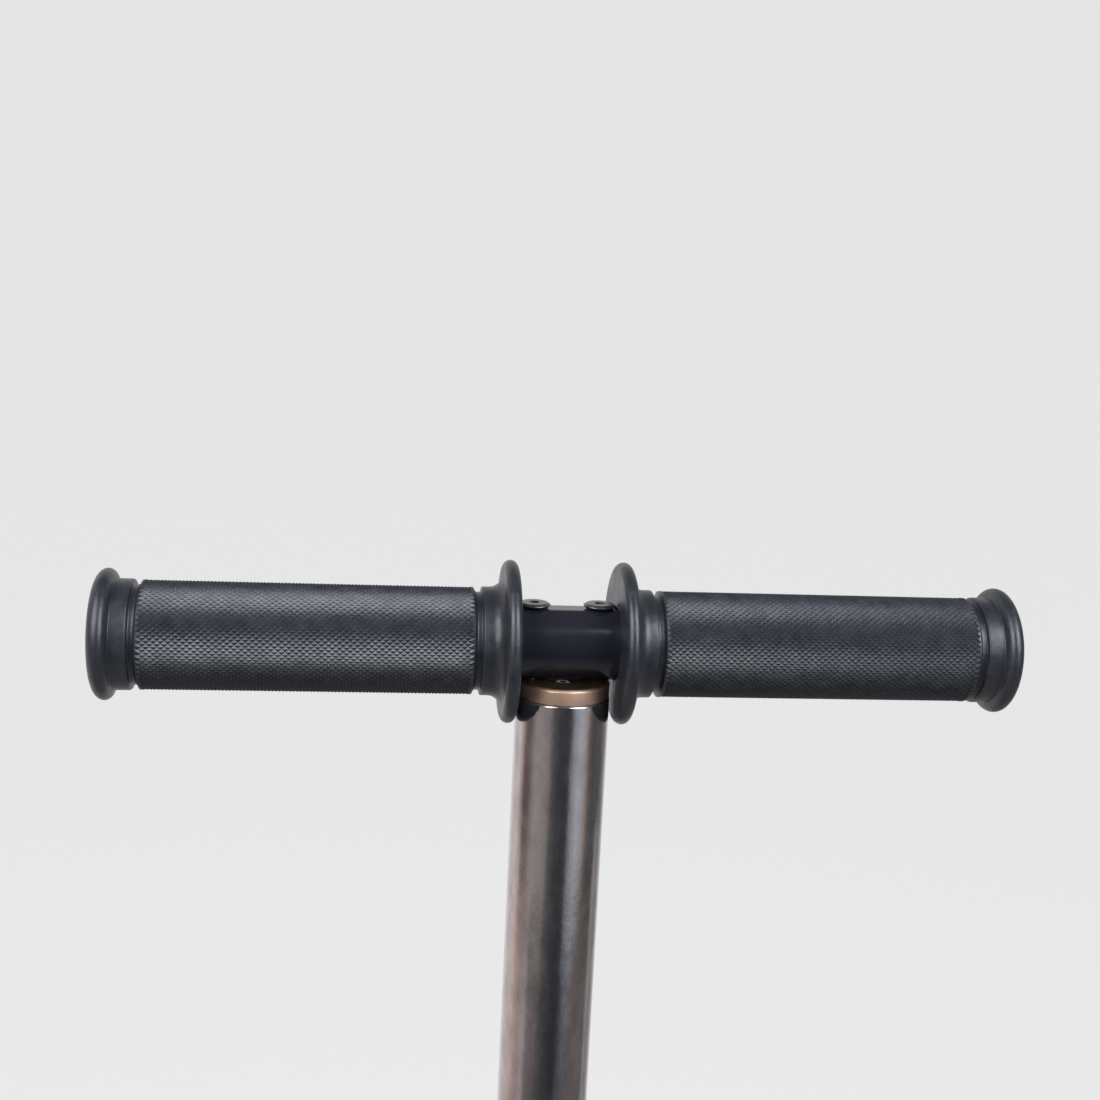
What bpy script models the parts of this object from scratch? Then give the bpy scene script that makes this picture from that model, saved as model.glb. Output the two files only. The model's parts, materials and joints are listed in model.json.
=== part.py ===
"""Coil-spring pogo stick with a T-handle.

Metres. +Z runs up the tube and +X along the handlebar. The origin is the centre of the rubber
tip's sole. The plunger slides up into the main tube against the spring; all else is one frame.
"""

import math

import bmesh
import bpy
from mathutils import Euler, Vector

# ---------------------------------------------------------------- driving dimensions

GAP = 0.0003                # clearance kept between neighbouring pieces
SIDES = 24                  # facets of a turned piece
FINE_SIDES = 12             # facets of a pin, screw or small hole

# main tube and top cap
TUBE_LENGTH = 0.8453
TUBE_RADIUS = 0.0143
TUBE_WALL = 0.0016
TUBE_CHAMFER = 0.0005
CAP_SETBACK = 0.0002        # the cap's rim stands this far inside the tube's outline
CAP_RIM = 0.0042
CAP_CHAMFER = 0.0007
CAP_SPIGOT = 0.012
CAP_RECESS_RADIUS = 0.0056
CAP_RECESS_DEPTH = 0.0026

# plug that holds the cap in the tube
CAP_BOLT_RADIUS = 0.0025
CAP_BOLT_HEAD_RADIUS = 0.0036
CAP_BOLT_HEAD = 0.0014
PLUG_RING_LENGTH = 0.014
PLUG_NUT_CLEARANCE = 0.0014
PLUG_NUT_LENGTH = 0.006

# handlebar
BAR_RADIUS = 0.0111
BAR_WALL = 0.0024
BAR_END_X = 0.132
BAR_FLAT_DEPTH = 0.0005
BAR_SCREW_RADIUS = 0.002
BAR_SCREW_HEAD_RADIUS = 0.0049
BAR_SCREW_HEAD = 0.0014
BAR_SCREW_SOCKET = 0.0030
BAR_SCREW_BITE = 0.009      # length of screw inside the cap

# grips
FLANGE_CLEARANCE = 0.0008   # from the tube's side to the inner flange
FLANGE_THICK = 0.0043
FLANGE_FILLET = 0.004
FLANGE_RISE = 0.0084        # above the hand part, as are the other rises
COLLAR_WIDTH = 0.0023
GROOVE_WIDTH = 0.0026
GROOVE_DEPTH = 0.0014
GRIP_COLLAR_RISE = 0.0002
GRIP_WALL = 0.005
OUTER_COLLAR_WIDTH = 0.005
BULB_RISE = 0.0032
BULB_INNER = 0.0025         # the bulb's bead, from its fullest ring back to the collar
BULB_OUTER = 0.0036         # and from that ring out to the end face
BULB_EDGE = 0.0056          # how far the end face's rounded edge reaches in from the ring
BULB_CROWN = 0.0004         # rise of the end face in its middle
GRIP_END_WALL = 0.0064

# plunger and tip
PLUNGER_RADIUS = 0.009525
PLUNGER_WALL = 0.002
TRAVEL = 0.095
STOP_MARGIN = 0.003
BUMP_STOP_WALL = 0.004
BUMP_STOP_LENGTH = 0.012
TIP_SOLE_RADIUS = 0.0225
TIP_WALL = 0.0047
TIP_HEIGHT = 0.046
TIP_SOLE_THICK = 0.011
TIP_EDGE = 0.003
TIP_DISC_THICK = 0.0025

# bottom collar, guide bushing and top-out bumper
COLLAR_WALL = 0.0035
COLLAR_LIP = 0.006
COLLAR_SKIRT = 0.022
COLLAR_CHAMFER = 0.001
COLLAR_SCREW_RADIUS = 0.0025
COLLAR_SCREWS = 3
WIPER_THICK = 0.003
WIPER_WIDTH = 0.0022
BUSHING_LENGTH = 0.036
BUMPER_LENGTH = 0.010

# plunger head and wear ring
HEAD_FLANGE = 0.0025
WEAR_RING_LENGTH = 0.008
WEAR_RING_THICK = 0.0014
HEAD_SPIGOT = 0.018
HEAD_PIN_RADIUS = 0.0025
HEAD_PIN_DROP = 0.008
PILOT_LENGTH = 0.012

# main spring and its upper seat
SPRING_CLEARANCE = 0.0007   # from the spring's turns to the tube's bore
SPRING_WIRE = 0.0045
SPRING_COILS = 30
SPRING_INSTALLED = 0.243
CLOSED_COILS = 1.25
CLOSED_COIL_GAP = 0.0004
POINTS_PER_COIL = 8
PILOT_CLEARANCE = 0.001      # room between a seat's pilot and the spring's turns
SEAT_LENGTH = 0.026
SEAT_BOLT_RADIUS = 0.004
SEAT_HEAD_RADIUS = 0.0075
SEAT_HEAD_LENGTH = 0.005
WASHER_RADIUS = 0.0082
WASHER_THICK = 0.0014

# footrests
CLAMP_HALF_WIDTH = 0.038
CLAMP_WALL = 0.0082
CLAMP_HEIGHT = 0.048
CLAMP_SPLIT = 0.001         # gap between the two clamp halves
CLAMP_ROUNDING = 0.005
CLAMP_BOLT_X = 0.027
CLAMP_BOLT_RISE = 0.0155
CLAMP_BOLT_RADIUS = 0.003
CLAMP_BOLT_HEAD_RADIUS = 0.005
CLAMP_BOLT_HEAD = 0.006
CLAMP_BOLT_BITE = 0.014     # length of bolt inside the back half
PEG_RADIUS = 0.008
PEG_LENGTH = 0.109
TREAD_HALF_WIDTH = 0.018
TREAD_WALL = 0.005
TREAD_END_WALL = 0.007
TREAD_LIP_RISE = 0.007
TREAD_ROUNDING = 0.003

# ---------------------------------------------------------------- places worked out from them

TUBE_BORE = TUBE_RADIUS - TUBE_WALL
PLUG_RADIUS = TUBE_BORE - GAP
PLUG_NUT_RADIUS = PLUG_RADIUS - PLUG_NUT_CLEARANCE
CAP_RADIUS = TUBE_RADIUS - CAP_SETBACK
COLLAR_RADIUS = TUBE_RADIUS + COLLAR_WALL
CLAMP_HALF_DEPTH = TUBE_RADIUS + CLAMP_WALL
SPRING_RADIUS = TUBE_BORE - SPRING_CLEARANCE
CLOSED_PITCH = SPRING_WIRE + CLOSED_COIL_GAP
PILOT_RADIUS = SPRING_RADIUS - SPRING_WIRE - PILOT_CLEARANCE

TREAD_HALF_HEIGHT = PEG_RADIUS + TREAD_WALL
BUMP_STOP_RADIUS = PLUNGER_RADIUS + BUMP_STOP_WALL
TIP_WAIST_RADIUS = PLUNGER_RADIUS + TIP_WALL

GRIP_INNER_X = TUBE_RADIUS + FLANGE_CLEARANCE
BAR_SCREW_X = GRIP_INNER_X - GAP - BAR_SCREW_HEAD_RADIUS
HAND_RADIUS = BAR_RADIUS + GRIP_WALL
GRIP_COLLAR_RADIUS = HAND_RADIUS + GRIP_COLLAR_RISE
FLANGE_RADIUS = HAND_RADIUS + FLANGE_RISE
BULB_RADIUS = HAND_RADIUS + BULB_RISE
FLANGE_OUTER_X = GRIP_INNER_X + FLANGE_THICK
COLLAR_END_X = FLANGE_OUTER_X + FLANGE_FILLET + COLLAR_WIDTH
HAND_X = COLLAR_END_X + GROOVE_WIDTH
BULB_X = BAR_END_X + GAP + GRIP_END_WALL - BULB_CROWN - BULB_OUTER
OUTER_COLLAR_X = BULB_X - BULB_INNER - OUTER_COLLAR_WIDTH
HAND_END_X = OUTER_COLLAR_X - GROOVE_WIDTH

BUMP_STOP_Z = TIP_HEIGHT + GAP
COLLAR_Z = BUMP_STOP_Z + BUMP_STOP_LENGTH + TRAVEL + STOP_MARGIN
TUBE_Z = COLLAR_Z + COLLAR_LIP + GAP
TUBE_TOP_Z = TUBE_Z + TUBE_LENGTH
BUSHING_Z = TUBE_Z
BUMPER_Z = BUSHING_Z + BUSHING_LENGTH + GAP
HEAD_Z = BUMPER_Z + BUMPER_LENGTH + GAP
HEAD_TOP_Z = HEAD_Z + 2 * HEAD_FLANGE + WEAR_RING_LENGTH + 2 * GAP
SPRING_Z = HEAD_TOP_Z + GAP
SPRING_TOP_Z = SPRING_Z + SPRING_INSTALLED
SEAT_Z = SPRING_TOP_Z + GAP
SEAT_BOLT_Z = SEAT_Z + SEAT_LENGTH / 2
CAP_Z = TUBE_TOP_Z + GAP
CAP_TOP_Z = CAP_Z + CAP_RIM
BAR_Z = CAP_TOP_Z + GAP + BAR_RADIUS
BAR_FLAT_Z = BAR_Z + BAR_RADIUS - BAR_FLAT_DEPTH
PLUNGER_Z = TIP_SOLE_THICK + TIP_DISC_THICK + 2 * GAP
PLUNGER_TOP_Z = HEAD_Z - GAP
HEAD_PIN_Z = PLUNGER_TOP_Z - HEAD_PIN_DROP
CLAMP_Z = TUBE_Z + COLLAR_SKIRT + GAP
PEG_Z = CLAMP_Z + CLAMP_HEIGHT / 2
PEG_INNER_X = TUBE_RADIUS + 3 * GAP
PEG_OUTER_X = PEG_INNER_X + PEG_LENGTH
TREAD_INNER_X = CLAMP_HALF_WIDTH + GAP
TREAD_OUTER_X = PEG_OUTER_X + GAP + TREAD_END_WALL
COLLAR_SCREW_Z = TUBE_Z + COLLAR_SKIRT / 2

# ---------------------------------------------------------------- materials

MATERIALS = {                # colour, metallic, roughness
    "polished_steel": ((0.42, 0.39, 0.38), 1.0, 0.18),
    "bronze": ((0.45, 0.27, 0.19), 1.0, 0.35),
    "black_enamel": ((0.012, 0.012, 0.015), 0.0, 0.12),
    "black_rubber": ((0.022, 0.023, 0.028), 0.0, 0.5),
    "black_oxide": ((0.03, 0.03, 0.032), 0.8, 0.4),
    "bright_steel": ((0.6, 0.6, 0.6), 1.0, 0.3),
    "spring_steel": ((0.2, 0.2, 0.22), 1.0, 0.35),
    "nylon": ((0.75, 0.73, 0.68), 0.0, 0.5),
}


def make_material(name):
    colour, metallic, roughness = MATERIALS[name]
    material = bpy.data.materials.new(name)
    material.use_nodes = True
    shader = material.node_tree.nodes["Principled BSDF"]
    shader.inputs["Base Color"].default_value = (*colour, 1.0)
    shader.inputs["Metallic"].default_value = metallic
    shader.inputs["Roughness"].default_value = roughness
    return material


# ---------------------------------------------------------------- modelling helpers

def start_scene():
    for obj in list(bpy.data.objects):
        bpy.data.objects.remove(obj, do_unlink=True)
    for name in ("pogo_stick", "cutters"):
        collection = bpy.data.collections.new(name)
        bpy.context.scene.collection.children.link(collection)
    return {name: make_material(name) for name in MATERIALS}


def move_to(obj, collection):
    for old in list(obj.users_collection):
        old.objects.unlink(obj)
    bpy.data.collections[collection].objects.link(obj)


def finish(obj, name, finish_name):
    """Name a piece, give it its finish and put it among the parts."""
    obj.name = name
    obj.data.name = name
    obj.data.materials.clear()
    obj.data.materials.append(materials[finish_name])
    move_to(obj, "pogo_stick")
    return obj


def arc(centre, radius, start, end, count, stretch=1.0):
    """Points (radius, height) on an arc, angles in degrees from the outward direction."""
    points = []
    for step in range(count + 1):
        angle = math.radians(start + (end - start) * step / count)
        out = centre[0] + radius * math.cos(angle)
        points.append((out, centre[1] + radius * stretch * math.sin(angle)))
    return points


def turned(name, finish_name, profile, closed, sides=SIDES, place=(0, 0, 0), turn=(0, 0, 0)):
    """Spin a (radius, height) profile, given from top to bottom down its outer side."""
    mesh = bpy.data.meshes.new(name)
    edges = [(i, i + 1) for i in range(len(profile) - 1)]
    if closed:
        edges.append((len(profile) - 1, 0))
    mesh.from_pydata([(radius, 0, height) for radius, height in profile], edges, [])
    obj = bpy.data.objects.new(name, mesh)
    bpy.context.scene.collection.objects.link(obj)
    obj.location = place
    obj.rotation_euler = Euler([math.radians(angle) for angle in turn])
    screw = obj.modifiers.new("spin", "SCREW")
    screw.angle = math.tau
    screw.steps = sides
    screw.render_steps = sides
    screw.use_merge_vertices = True
    screw.merge_threshold = 0.00001
    return finish(obj, name, finish_name)


def ring(name, finish_name, outer, inner, bottom, height, chamfer=0.0, sides=SIDES):
    """A plain ring or sleeve round Z, chamfered on its outer edges."""
    top = bottom + height
    if chamfer:
        profile = [(outer - chamfer, top), (outer, top - chamfer),
                   (outer, bottom + chamfer), (outer - chamfer, bottom)]
    else:
        profile = [(outer, top), (outer, bottom)]
    profile += [(inner, bottom), (inner, top)]
    return turned(name, finish_name, profile, True, sides)


def cylinder(name, radius, length, centre, axis, sides=FINE_SIDES):
    """A solid cylinder primitive along an axis, in no collection yet."""
    bpy.ops.mesh.primitive_cylinder_add(vertices=sides, radius=radius, depth=length,
                                        location=centre)
    obj = bpy.context.active_object
    obj.rotation_mode = "QUATERNION"
    obj.rotation_quaternion = Vector((0, 0, 1)).rotation_difference(Vector(axis))
    obj.name = name
    return obj


def box(name, size, centre):
    bpy.ops.mesh.primitive_cube_add(size=1, location=centre)
    obj = bpy.context.active_object
    obj.name = name
    for vertex in obj.data.vertices:
        vertex.co = Vector([vertex.co[i] * size[i] for i in range(3)])
    return obj


def combine(obj, other, operation):
    other.hide_render = True
    other.display_type = "WIRE"
    move_to(other, "cutters")
    boolean = obj.modifiers.new(operation.lower(), "BOOLEAN")
    boolean.operation = operation
    boolean.solver = "EXACT"
    boolean.object = other
    return obj


def drill(obj, radius, length, centre, axis, sides=FINE_SIDES):
    """Cut a round hole centred on a point."""
    return combine(obj, cylinder(obj.name + "_drill", radius, length, centre, axis, sides),
                   "DIFFERENCE")


def rounded(obj, width, segments=2):
    bevel = obj.modifiers.new("rounding", "BEVEL")
    bevel.width = width
    bevel.segments = segments
    bevel.limit_method = "ANGLE"
    bevel.angle_limit = math.radians(40)
    return obj


def outline_solid(name, points, half_thickness, centre, turn):
    """An extruded flat outline, as a welded mesh."""
    curve = bpy.data.curves.new(name, "CURVE")
    curve.dimensions = "2D"
    curve.fill_mode = "BOTH"
    curve.extrude = half_thickness
    spline = curve.splines.new("POLY")
    spline.points.add(len(points) - 1)
    for point, (across, up) in zip(spline.points, points):
        point.co = (across, up, 0, 1)
    spline.use_cyclic_u = True
    guide = bpy.data.objects.new(name + "_outline", curve)
    bpy.context.scene.collection.objects.link(guide)
    guide.location = centre
    guide.rotation_euler = Euler([math.radians(angle) for angle in turn])
    bpy.context.view_layer.update()
    mesh = bpy.data.meshes.new_from_object(guide.evaluated_get(bpy.context.evaluated_depsgraph_get()))
    cage = bmesh.new()
    cage.from_mesh(mesh)
    bmesh.ops.remove_doubles(cage, verts=cage.verts, dist=0.000001)
    bmesh.ops.dissolve_limit(cage, angle_limit=0.01, verts=cage.verts, edges=cage.edges)
    bmesh.ops.recalc_face_normals(cage, faces=cage.faces)
    cage.to_mesh(mesh)
    cage.free()
    obj = bpy.data.objects.new(name, mesh)
    bpy.context.scene.collection.objects.link(obj)
    obj.matrix_world = guide.matrix_world
    bpy.data.objects.remove(guide, do_unlink=True)
    return obj


def headed(name, finish_name, head_radius, head, radius, length, place, turn, head_sides):
    """A bolt or screw: its head on top of its shank, the head's underside at z = 0."""
    shank = turned(name, finish_name, [(0, GAP), (radius, GAP), (radius, -length), (0, -length)],
                   False, FINE_SIDES, place, turn)
    bpy.context.view_layer.update()
    bpy.ops.mesh.primitive_cylinder_add(vertices=head_sides, radius=head_radius, depth=head,
                                        location=(0, 0, head / 2))
    cap = bpy.context.active_object
    cap.name = name + "_head"
    cap.matrix_world = shank.matrix_world @ cap.matrix_world
    return combine(shank, cap, "UNION")


# ---------------------------------------------------------------- tube, cap and its plug

def make_main_tube():
    edge = TUBE_RADIUS - TUBE_CHAMFER
    profile = [(edge, TUBE_TOP_Z), (TUBE_RADIUS, TUBE_TOP_Z - TUBE_CHAMFER),
               (TUBE_RADIUS, TUBE_Z), (TUBE_BORE, TUBE_Z), (TUBE_BORE, TUBE_TOP_Z)]
    tube = turned("main_tube", "polished_steel", profile, True)
    drill(tube, SEAT_BOLT_RADIUS + GAP, 4 * TUBE_RADIUS, (0, 0, SEAT_BOLT_Z), (0, 1, 0))
    for way in collar_screw_ways():
        drill(tube, COLLAR_SCREW_RADIUS + GAP, 2 * TUBE_WALL,
              way * (TUBE_RADIUS - TUBE_WALL / 2) + Vector((0, 0, COLLAR_SCREW_Z)), way)
    return tube


def make_top_cap():
    foot = CAP_Z - CAP_SPIGOT
    hole = CAP_BOLT_RADIUS + GAP
    shelf = CAP_TOP_Z - CAP_RECESS_DEPTH
    profile = [(CAP_RECESS_RADIUS, CAP_TOP_Z), (CAP_RADIUS - CAP_CHAMFER, CAP_TOP_Z),
               (CAP_RADIUS, CAP_TOP_Z - CAP_CHAMFER), (CAP_RADIUS, CAP_Z), (PLUG_RADIUS, CAP_Z),
               (PLUG_RADIUS, foot), (hole, foot), (hole, shelf), (CAP_RECESS_RADIUS, shelf)]
    cap = turned("top_cap", "bronze", profile, True)
    for x in (-BAR_SCREW_X, BAR_SCREW_X):
        depth = 2 * (BAR_SCREW_BITE + GAP)
        drill(cap, BAR_SCREW_RADIUS + GAP, depth, (x, 0, CAP_TOP_Z), (0, 0, 1))
    return cap


def make_cap_plug():
    """The bolt, rubber ring and nut that swell inside the tube and hold the cap."""
    head_z = CAP_TOP_Z - CAP_RECESS_DEPTH + GAP
    ring_z = CAP_Z - CAP_SPIGOT - GAP - PLUG_RING_LENGTH
    nut_z = ring_z - GAP - PLUG_NUT_LENGTH
    hole = CAP_BOLT_RADIUS + GAP
    headed("cap_bolt", "black_oxide", CAP_BOLT_HEAD_RADIUS, CAP_BOLT_HEAD, CAP_BOLT_RADIUS,
           head_z - nut_z, (0, 0, head_z), (0, 0, 0), FINE_SIDES)
    ring("expansion_ring", "black_rubber", PLUG_RADIUS, hole, ring_z, PLUG_RING_LENGTH)
    ring("plug_nut", "bright_steel", PLUG_NUT_RADIUS, hole, nut_z, PLUG_NUT_LENGTH)


# ---------------------------------------------------------------- handlebar and grips

def make_handlebar():
    bore = BAR_RADIUS - BAR_WALL
    profile = [(BAR_RADIUS, BAR_END_X), (BAR_RADIUS, -BAR_END_X),
               (bore, -BAR_END_X), (bore, BAR_END_X)]
    bar = turned("handlebar", "black_enamel", profile, True, SIDES, (0, 0, BAR_Z), (0, 90, 0))
    flat = box("bar_flat", (2 * GRIP_INNER_X + 2 * FLANGE_THICK, 2 * BAR_RADIUS, BAR_RADIUS),
               (0, 0, BAR_FLAT_Z + BAR_RADIUS / 2))
    combine(bar, flat, "DIFFERENCE")
    for side, x in (("left", -BAR_SCREW_X), ("right", BAR_SCREW_X)):
        drill(bar, BAR_SCREW_RADIUS + GAP, 4 * BAR_RADIUS, (x, 0, BAR_Z), (0, 0, 1))
        make_bar_screw("handlebar_screw_" + side, x)


def make_bar_screw(name, x):
    seat = BAR_FLAT_Z + GAP
    length = seat - CAP_TOP_Z + BAR_SCREW_BITE
    screw = headed(name, "black_oxide", BAR_SCREW_HEAD_RADIUS, BAR_SCREW_HEAD, BAR_SCREW_RADIUS,
                   length, (x, 0, seat), (0, 0, 0), FINE_SIDES)
    socket = BAR_SCREW_SOCKET / math.sqrt(3)
    drill(screw, socket, BAR_SCREW_HEAD, (x, 0, seat + BAR_SCREW_HEAD), (0, 0, 1), 6)


def grip_profile():
    """(radius, distance from the stick) of the grip, from its closed end back to its flange."""
    rim = FLANGE_THICK / 2
    groove = HAND_RADIUS - GROOVE_DEPTH
    bead = BULB_RADIUS - GRIP_COLLAR_RADIUS
    points = [(0, BULB_X + BULB_OUTER + BULB_CROWN)]
    points += arc((BULB_RADIUS - BULB_EDGE, BULB_X), BULB_EDGE, 90, 0, 4, BULB_OUTER / BULB_EDGE)
    points += arc((GRIP_COLLAR_RADIUS, BULB_X), bead, 0, -90, 2, BULB_INNER / bead)[1:]
    points += [(GRIP_COLLAR_RADIUS, OUTER_COLLAR_X)]
    points += [(groove, OUTER_COLLAR_X), (groove, HAND_END_X)]
    points += [(HAND_RADIUS, HAND_END_X), (HAND_RADIUS, HAND_X)]
    points += [(groove, HAND_X), (groove, COLLAR_END_X), (GRIP_COLLAR_RADIUS, COLLAR_END_X)]
    points += arc((GRIP_COLLAR_RADIUS + FLANGE_FILLET, FLANGE_OUTER_X + FLANGE_FILLET),
                  FLANGE_FILLET, -180, -270, 2)
    points += arc((FLANGE_RADIUS - rim, GRIP_INNER_X + rim), rim, 90, -90, 6)
    bore = BAR_RADIUS + GAP
    points += [(bore, GRIP_INNER_X), (bore, BAR_END_X + GAP), (0, BAR_END_X + GAP)]
    return points


def make_grips():
    for name, turn in (("grip_right", 90), ("grip_left", -90)):
        turned(name, "black_rubber", grip_profile(), False, SIDES, (0, 0, BAR_Z), (0, turn, 0))


# ---------------------------------------------------------------- spring and its upper seat

def make_spring_seat():
    profile = [(0, SEAT_Z + SEAT_LENGTH), (PLUG_RADIUS, SEAT_Z + SEAT_LENGTH), (PLUG_RADIUS, SEAT_Z),
               (PILOT_RADIUS, SEAT_Z), (PILOT_RADIUS, SEAT_Z - PILOT_LENGTH),
               (0, SEAT_Z - PILOT_LENGTH)]
    seat = turned("spring_seat", "bright_steel", profile, False)
    drill(seat, SEAT_BOLT_RADIUS + GAP, 4 * TUBE_RADIUS, (0, 0, SEAT_BOLT_Z), (0, 1, 0))
    washer_hole = SEAT_BOLT_RADIUS + GAP
    washer_y = TUBE_RADIUS + GAP
    profile = [(WASHER_RADIUS, washer_y + WASHER_THICK), (WASHER_RADIUS, washer_y),
               (washer_hole, washer_y), (washer_hole, washer_y + WASHER_THICK)]
    for name, turn in (("seat_washer_front", 90), ("seat_washer_back", -90)):
        turned(name, "bright_steel", profile, True, FINE_SIDES, (0, 0, SEAT_BOLT_Z), (turn, 0, 0))
    face = washer_y + WASHER_THICK + GAP
    headed("seat_bolt", "bright_steel", SEAT_HEAD_RADIUS, SEAT_HEAD_LENGTH, SEAT_BOLT_RADIUS,
           2 * face + SEAT_HEAD_LENGTH, (0, -face, SEAT_BOLT_Z), (90, 0, 0), 6)
    nut = cylinder("seat_nut", SEAT_HEAD_RADIUS, SEAT_HEAD_LENGTH,
                   (0, face + SEAT_HEAD_LENGTH / 2, SEAT_BOLT_Z), (0, 1, 0), 6)
    drill(nut, washer_hole, 4 * SEAT_HEAD_LENGTH, nut.location, (0, 1, 0))
    finish(nut, "seat_nut", "bright_steel")


def spring_height(turns):
    """Height of the wire's centre above the spring's first turn, closed at both ends."""
    run = SPRING_INSTALLED - SPRING_WIRE
    open_turns = SPRING_COILS - 2 * CLOSED_COILS
    open_pitch = (run - 2 * CLOSED_COILS * CLOSED_PITCH) / open_turns
    low = min(turns, CLOSED_COILS)
    middle = min(max(turns - CLOSED_COILS, 0), open_turns)
    high = max(turns - CLOSED_COILS - open_turns, 0)
    return (low + high) * CLOSED_PITCH + middle * open_pitch


def make_spring():
    curve = bpy.data.curves.new("main_spring", "CURVE")
    curve.dimensions = "3D"
    curve.bevel_depth = SPRING_WIRE / 2
    curve.bevel_resolution = 2
    curve.use_fill_caps = True
    spline = curve.splines.new("POLY")
    count = SPRING_COILS * POINTS_PER_COIL + 1
    spline.points.add(count - 1)
    middle = SPRING_RADIUS - SPRING_WIRE / 2
    for index, point in enumerate(spline.points):
        turns = index / POINTS_PER_COIL
        angle = math.tau * turns
        height = SPRING_Z + SPRING_WIRE / 2 + spring_height(turns)
        point.co = (middle * math.cos(angle), middle * math.sin(angle), height, 1)
    obj = bpy.data.objects.new("main_spring", curve)
    bpy.context.scene.collection.objects.link(obj)
    finish(obj, "main_spring", "spring_steel")


# ---------------------------------------------------------------- plunger, head and tip

def make_plunger():
    """The pieces that slide: they hang from an empty on the slide's axis."""
    axis = bpy.data.objects.new("plunger_axis", None)
    bpy.data.collections["pogo_stick"].objects.link(axis)
    bore = PLUNGER_RADIUS - PLUNGER_WALL
    tube = ring("plunger_tube", "bright_steel", PLUNGER_RADIUS, bore, PLUNGER_Z,
                PLUNGER_TOP_Z - PLUNGER_Z)
    drill(tube, HEAD_PIN_RADIUS + GAP, 4 * PLUNGER_RADIUS, (0, 0, HEAD_PIN_Z), (1, 0, 0))
    head = make_plunger_head(bore - GAP)
    pin = cylinder("head_pin", HEAD_PIN_RADIUS, 2 * (PLUNGER_RADIUS - GAP), (0, 0, HEAD_PIN_Z),
                   (1, 0, 0))
    finish(pin, "head_pin", "bright_steel")
    wear = ring("wear_ring", "nylon", PLUG_RADIUS, PLUG_RADIUS - WEAR_RING_THICK,
                HEAD_Z + HEAD_FLANGE + GAP, WEAR_RING_LENGTH)
    stop = ring("bump_stop", "black_rubber", BUMP_STOP_RADIUS, PLUNGER_RADIUS + GAP, BUMP_STOP_Z,
                BUMP_STOP_LENGTH, 2 * COLLAR_CHAMFER)
    disc_z = TIP_SOLE_THICK + GAP
    disc_top = disc_z + TIP_DISC_THICK
    disc = turned("tip_disc", "bright_steel", [(0, disc_top), (PLUNGER_RADIUS, disc_top),
                                               (PLUNGER_RADIUS, disc_z), (0, disc_z)], False)
    for piece in (tube, head, pin, wear, stop, disc, make_rubber_tip()):
        piece.parent = axis


def make_plunger_head(spigot_radius):
    flange = PLUG_RADIUS - GAP
    groove = PLUG_RADIUS - WEAR_RING_THICK - GAP
    groove_low = HEAD_Z + HEAD_FLANGE
    groove_high = HEAD_TOP_Z - HEAD_FLANGE
    foot = PLUNGER_TOP_Z - HEAD_SPIGOT
    profile = [(0, HEAD_TOP_Z + PILOT_LENGTH), (PILOT_RADIUS, HEAD_TOP_Z + PILOT_LENGTH),
               (PILOT_RADIUS, HEAD_TOP_Z), (flange, HEAD_TOP_Z), (flange, groove_high),
               (groove, groove_high), (groove, groove_low), (flange, groove_low),
               (flange, HEAD_Z), (spigot_radius, HEAD_Z), (spigot_radius, foot), (0, foot)]
    head = turned("plunger_head", "bright_steel", profile, False)
    drill(head, HEAD_PIN_RADIUS + GAP, 4 * PLUNGER_RADIUS, (0, 0, HEAD_PIN_Z), (1, 0, 0))
    return head


def make_rubber_tip():
    bore = PLUNGER_RADIUS + GAP
    foot_top = TIP_SOLE_THICK + TIP_EDGE
    profile = [(bore, TIP_HEIGHT), (TIP_WAIST_RADIUS, TIP_HEIGHT), (TIP_WAIST_RADIUS, 2 * foot_top)]
    profile += [(TIP_SOLE_RADIUS, foot_top), (TIP_SOLE_RADIUS, TIP_EDGE)]
    profile += [(TIP_SOLE_RADIUS - TIP_EDGE / 3, TIP_EDGE / 3), (TIP_SOLE_RADIUS - TIP_EDGE, 0)]
    profile += [(0, 0), (0, TIP_SOLE_THICK), (bore, TIP_SOLE_THICK)]
    return turned("rubber_tip", "black_rubber", profile, True)


# ---------------------------------------------------------------- bottom collar and its guides

def collar_screw_ways():
    """Unit directions of the collar screws, the first one facing the front."""
    for index in range(COLLAR_SCREWS):
        angle = math.tau * index / COLLAR_SCREWS - math.pi / 2
        yield Vector((math.cos(angle), math.sin(angle), 0))


def make_bottom_collar():
    top = TUBE_Z + COLLAR_SKIRT
    bore = PLUNGER_RADIUS + 2 * GAP
    recess = PLUNGER_RADIUS + GAP + WIPER_WIDTH + GAP
    shelf = COLLAR_Z + WIPER_THICK + GAP
    sleeve = TUBE_RADIUS + GAP
    profile = [(sleeve, top), (COLLAR_RADIUS - COLLAR_CHAMFER, top),
               (COLLAR_RADIUS, top - COLLAR_CHAMFER), (COLLAR_RADIUS, COLLAR_Z + COLLAR_CHAMFER),
               (COLLAR_RADIUS - COLLAR_CHAMFER, COLLAR_Z), (recess, COLLAR_Z), (recess, shelf),
               (bore, shelf), (bore, TUBE_Z - GAP), (sleeve, TUBE_Z - GAP)]
    collar = turned("bottom_collar", "bronze", profile, True)
    inner = TUBE_BORE + GAP
    for index, way in enumerate(collar_screw_ways()):
        middle = way * (inner + COLLAR_RADIUS) / 2 + Vector((0, 0, COLLAR_SCREW_Z))
        start = way * (sleeve + COLLAR_RADIUS) / 2 + Vector((0, 0, COLLAR_SCREW_Z))
        drill(collar, COLLAR_SCREW_RADIUS + GAP, COLLAR_RADIUS - sleeve + 8 * GAP, start, way)
        screw = cylinder("collar_screw", COLLAR_SCREW_RADIUS, COLLAR_RADIUS - inner - GAP, middle, way)
        socket_end = way * COLLAR_RADIUS + Vector((0, 0, COLLAR_SCREW_Z))
        drill(screw, COLLAR_SCREW_RADIUS / 2, COLLAR_SCREW_RADIUS, socket_end, way, 6)
        finish(screw, "collar_screw_%d" % (index + 1), "black_oxide")


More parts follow.
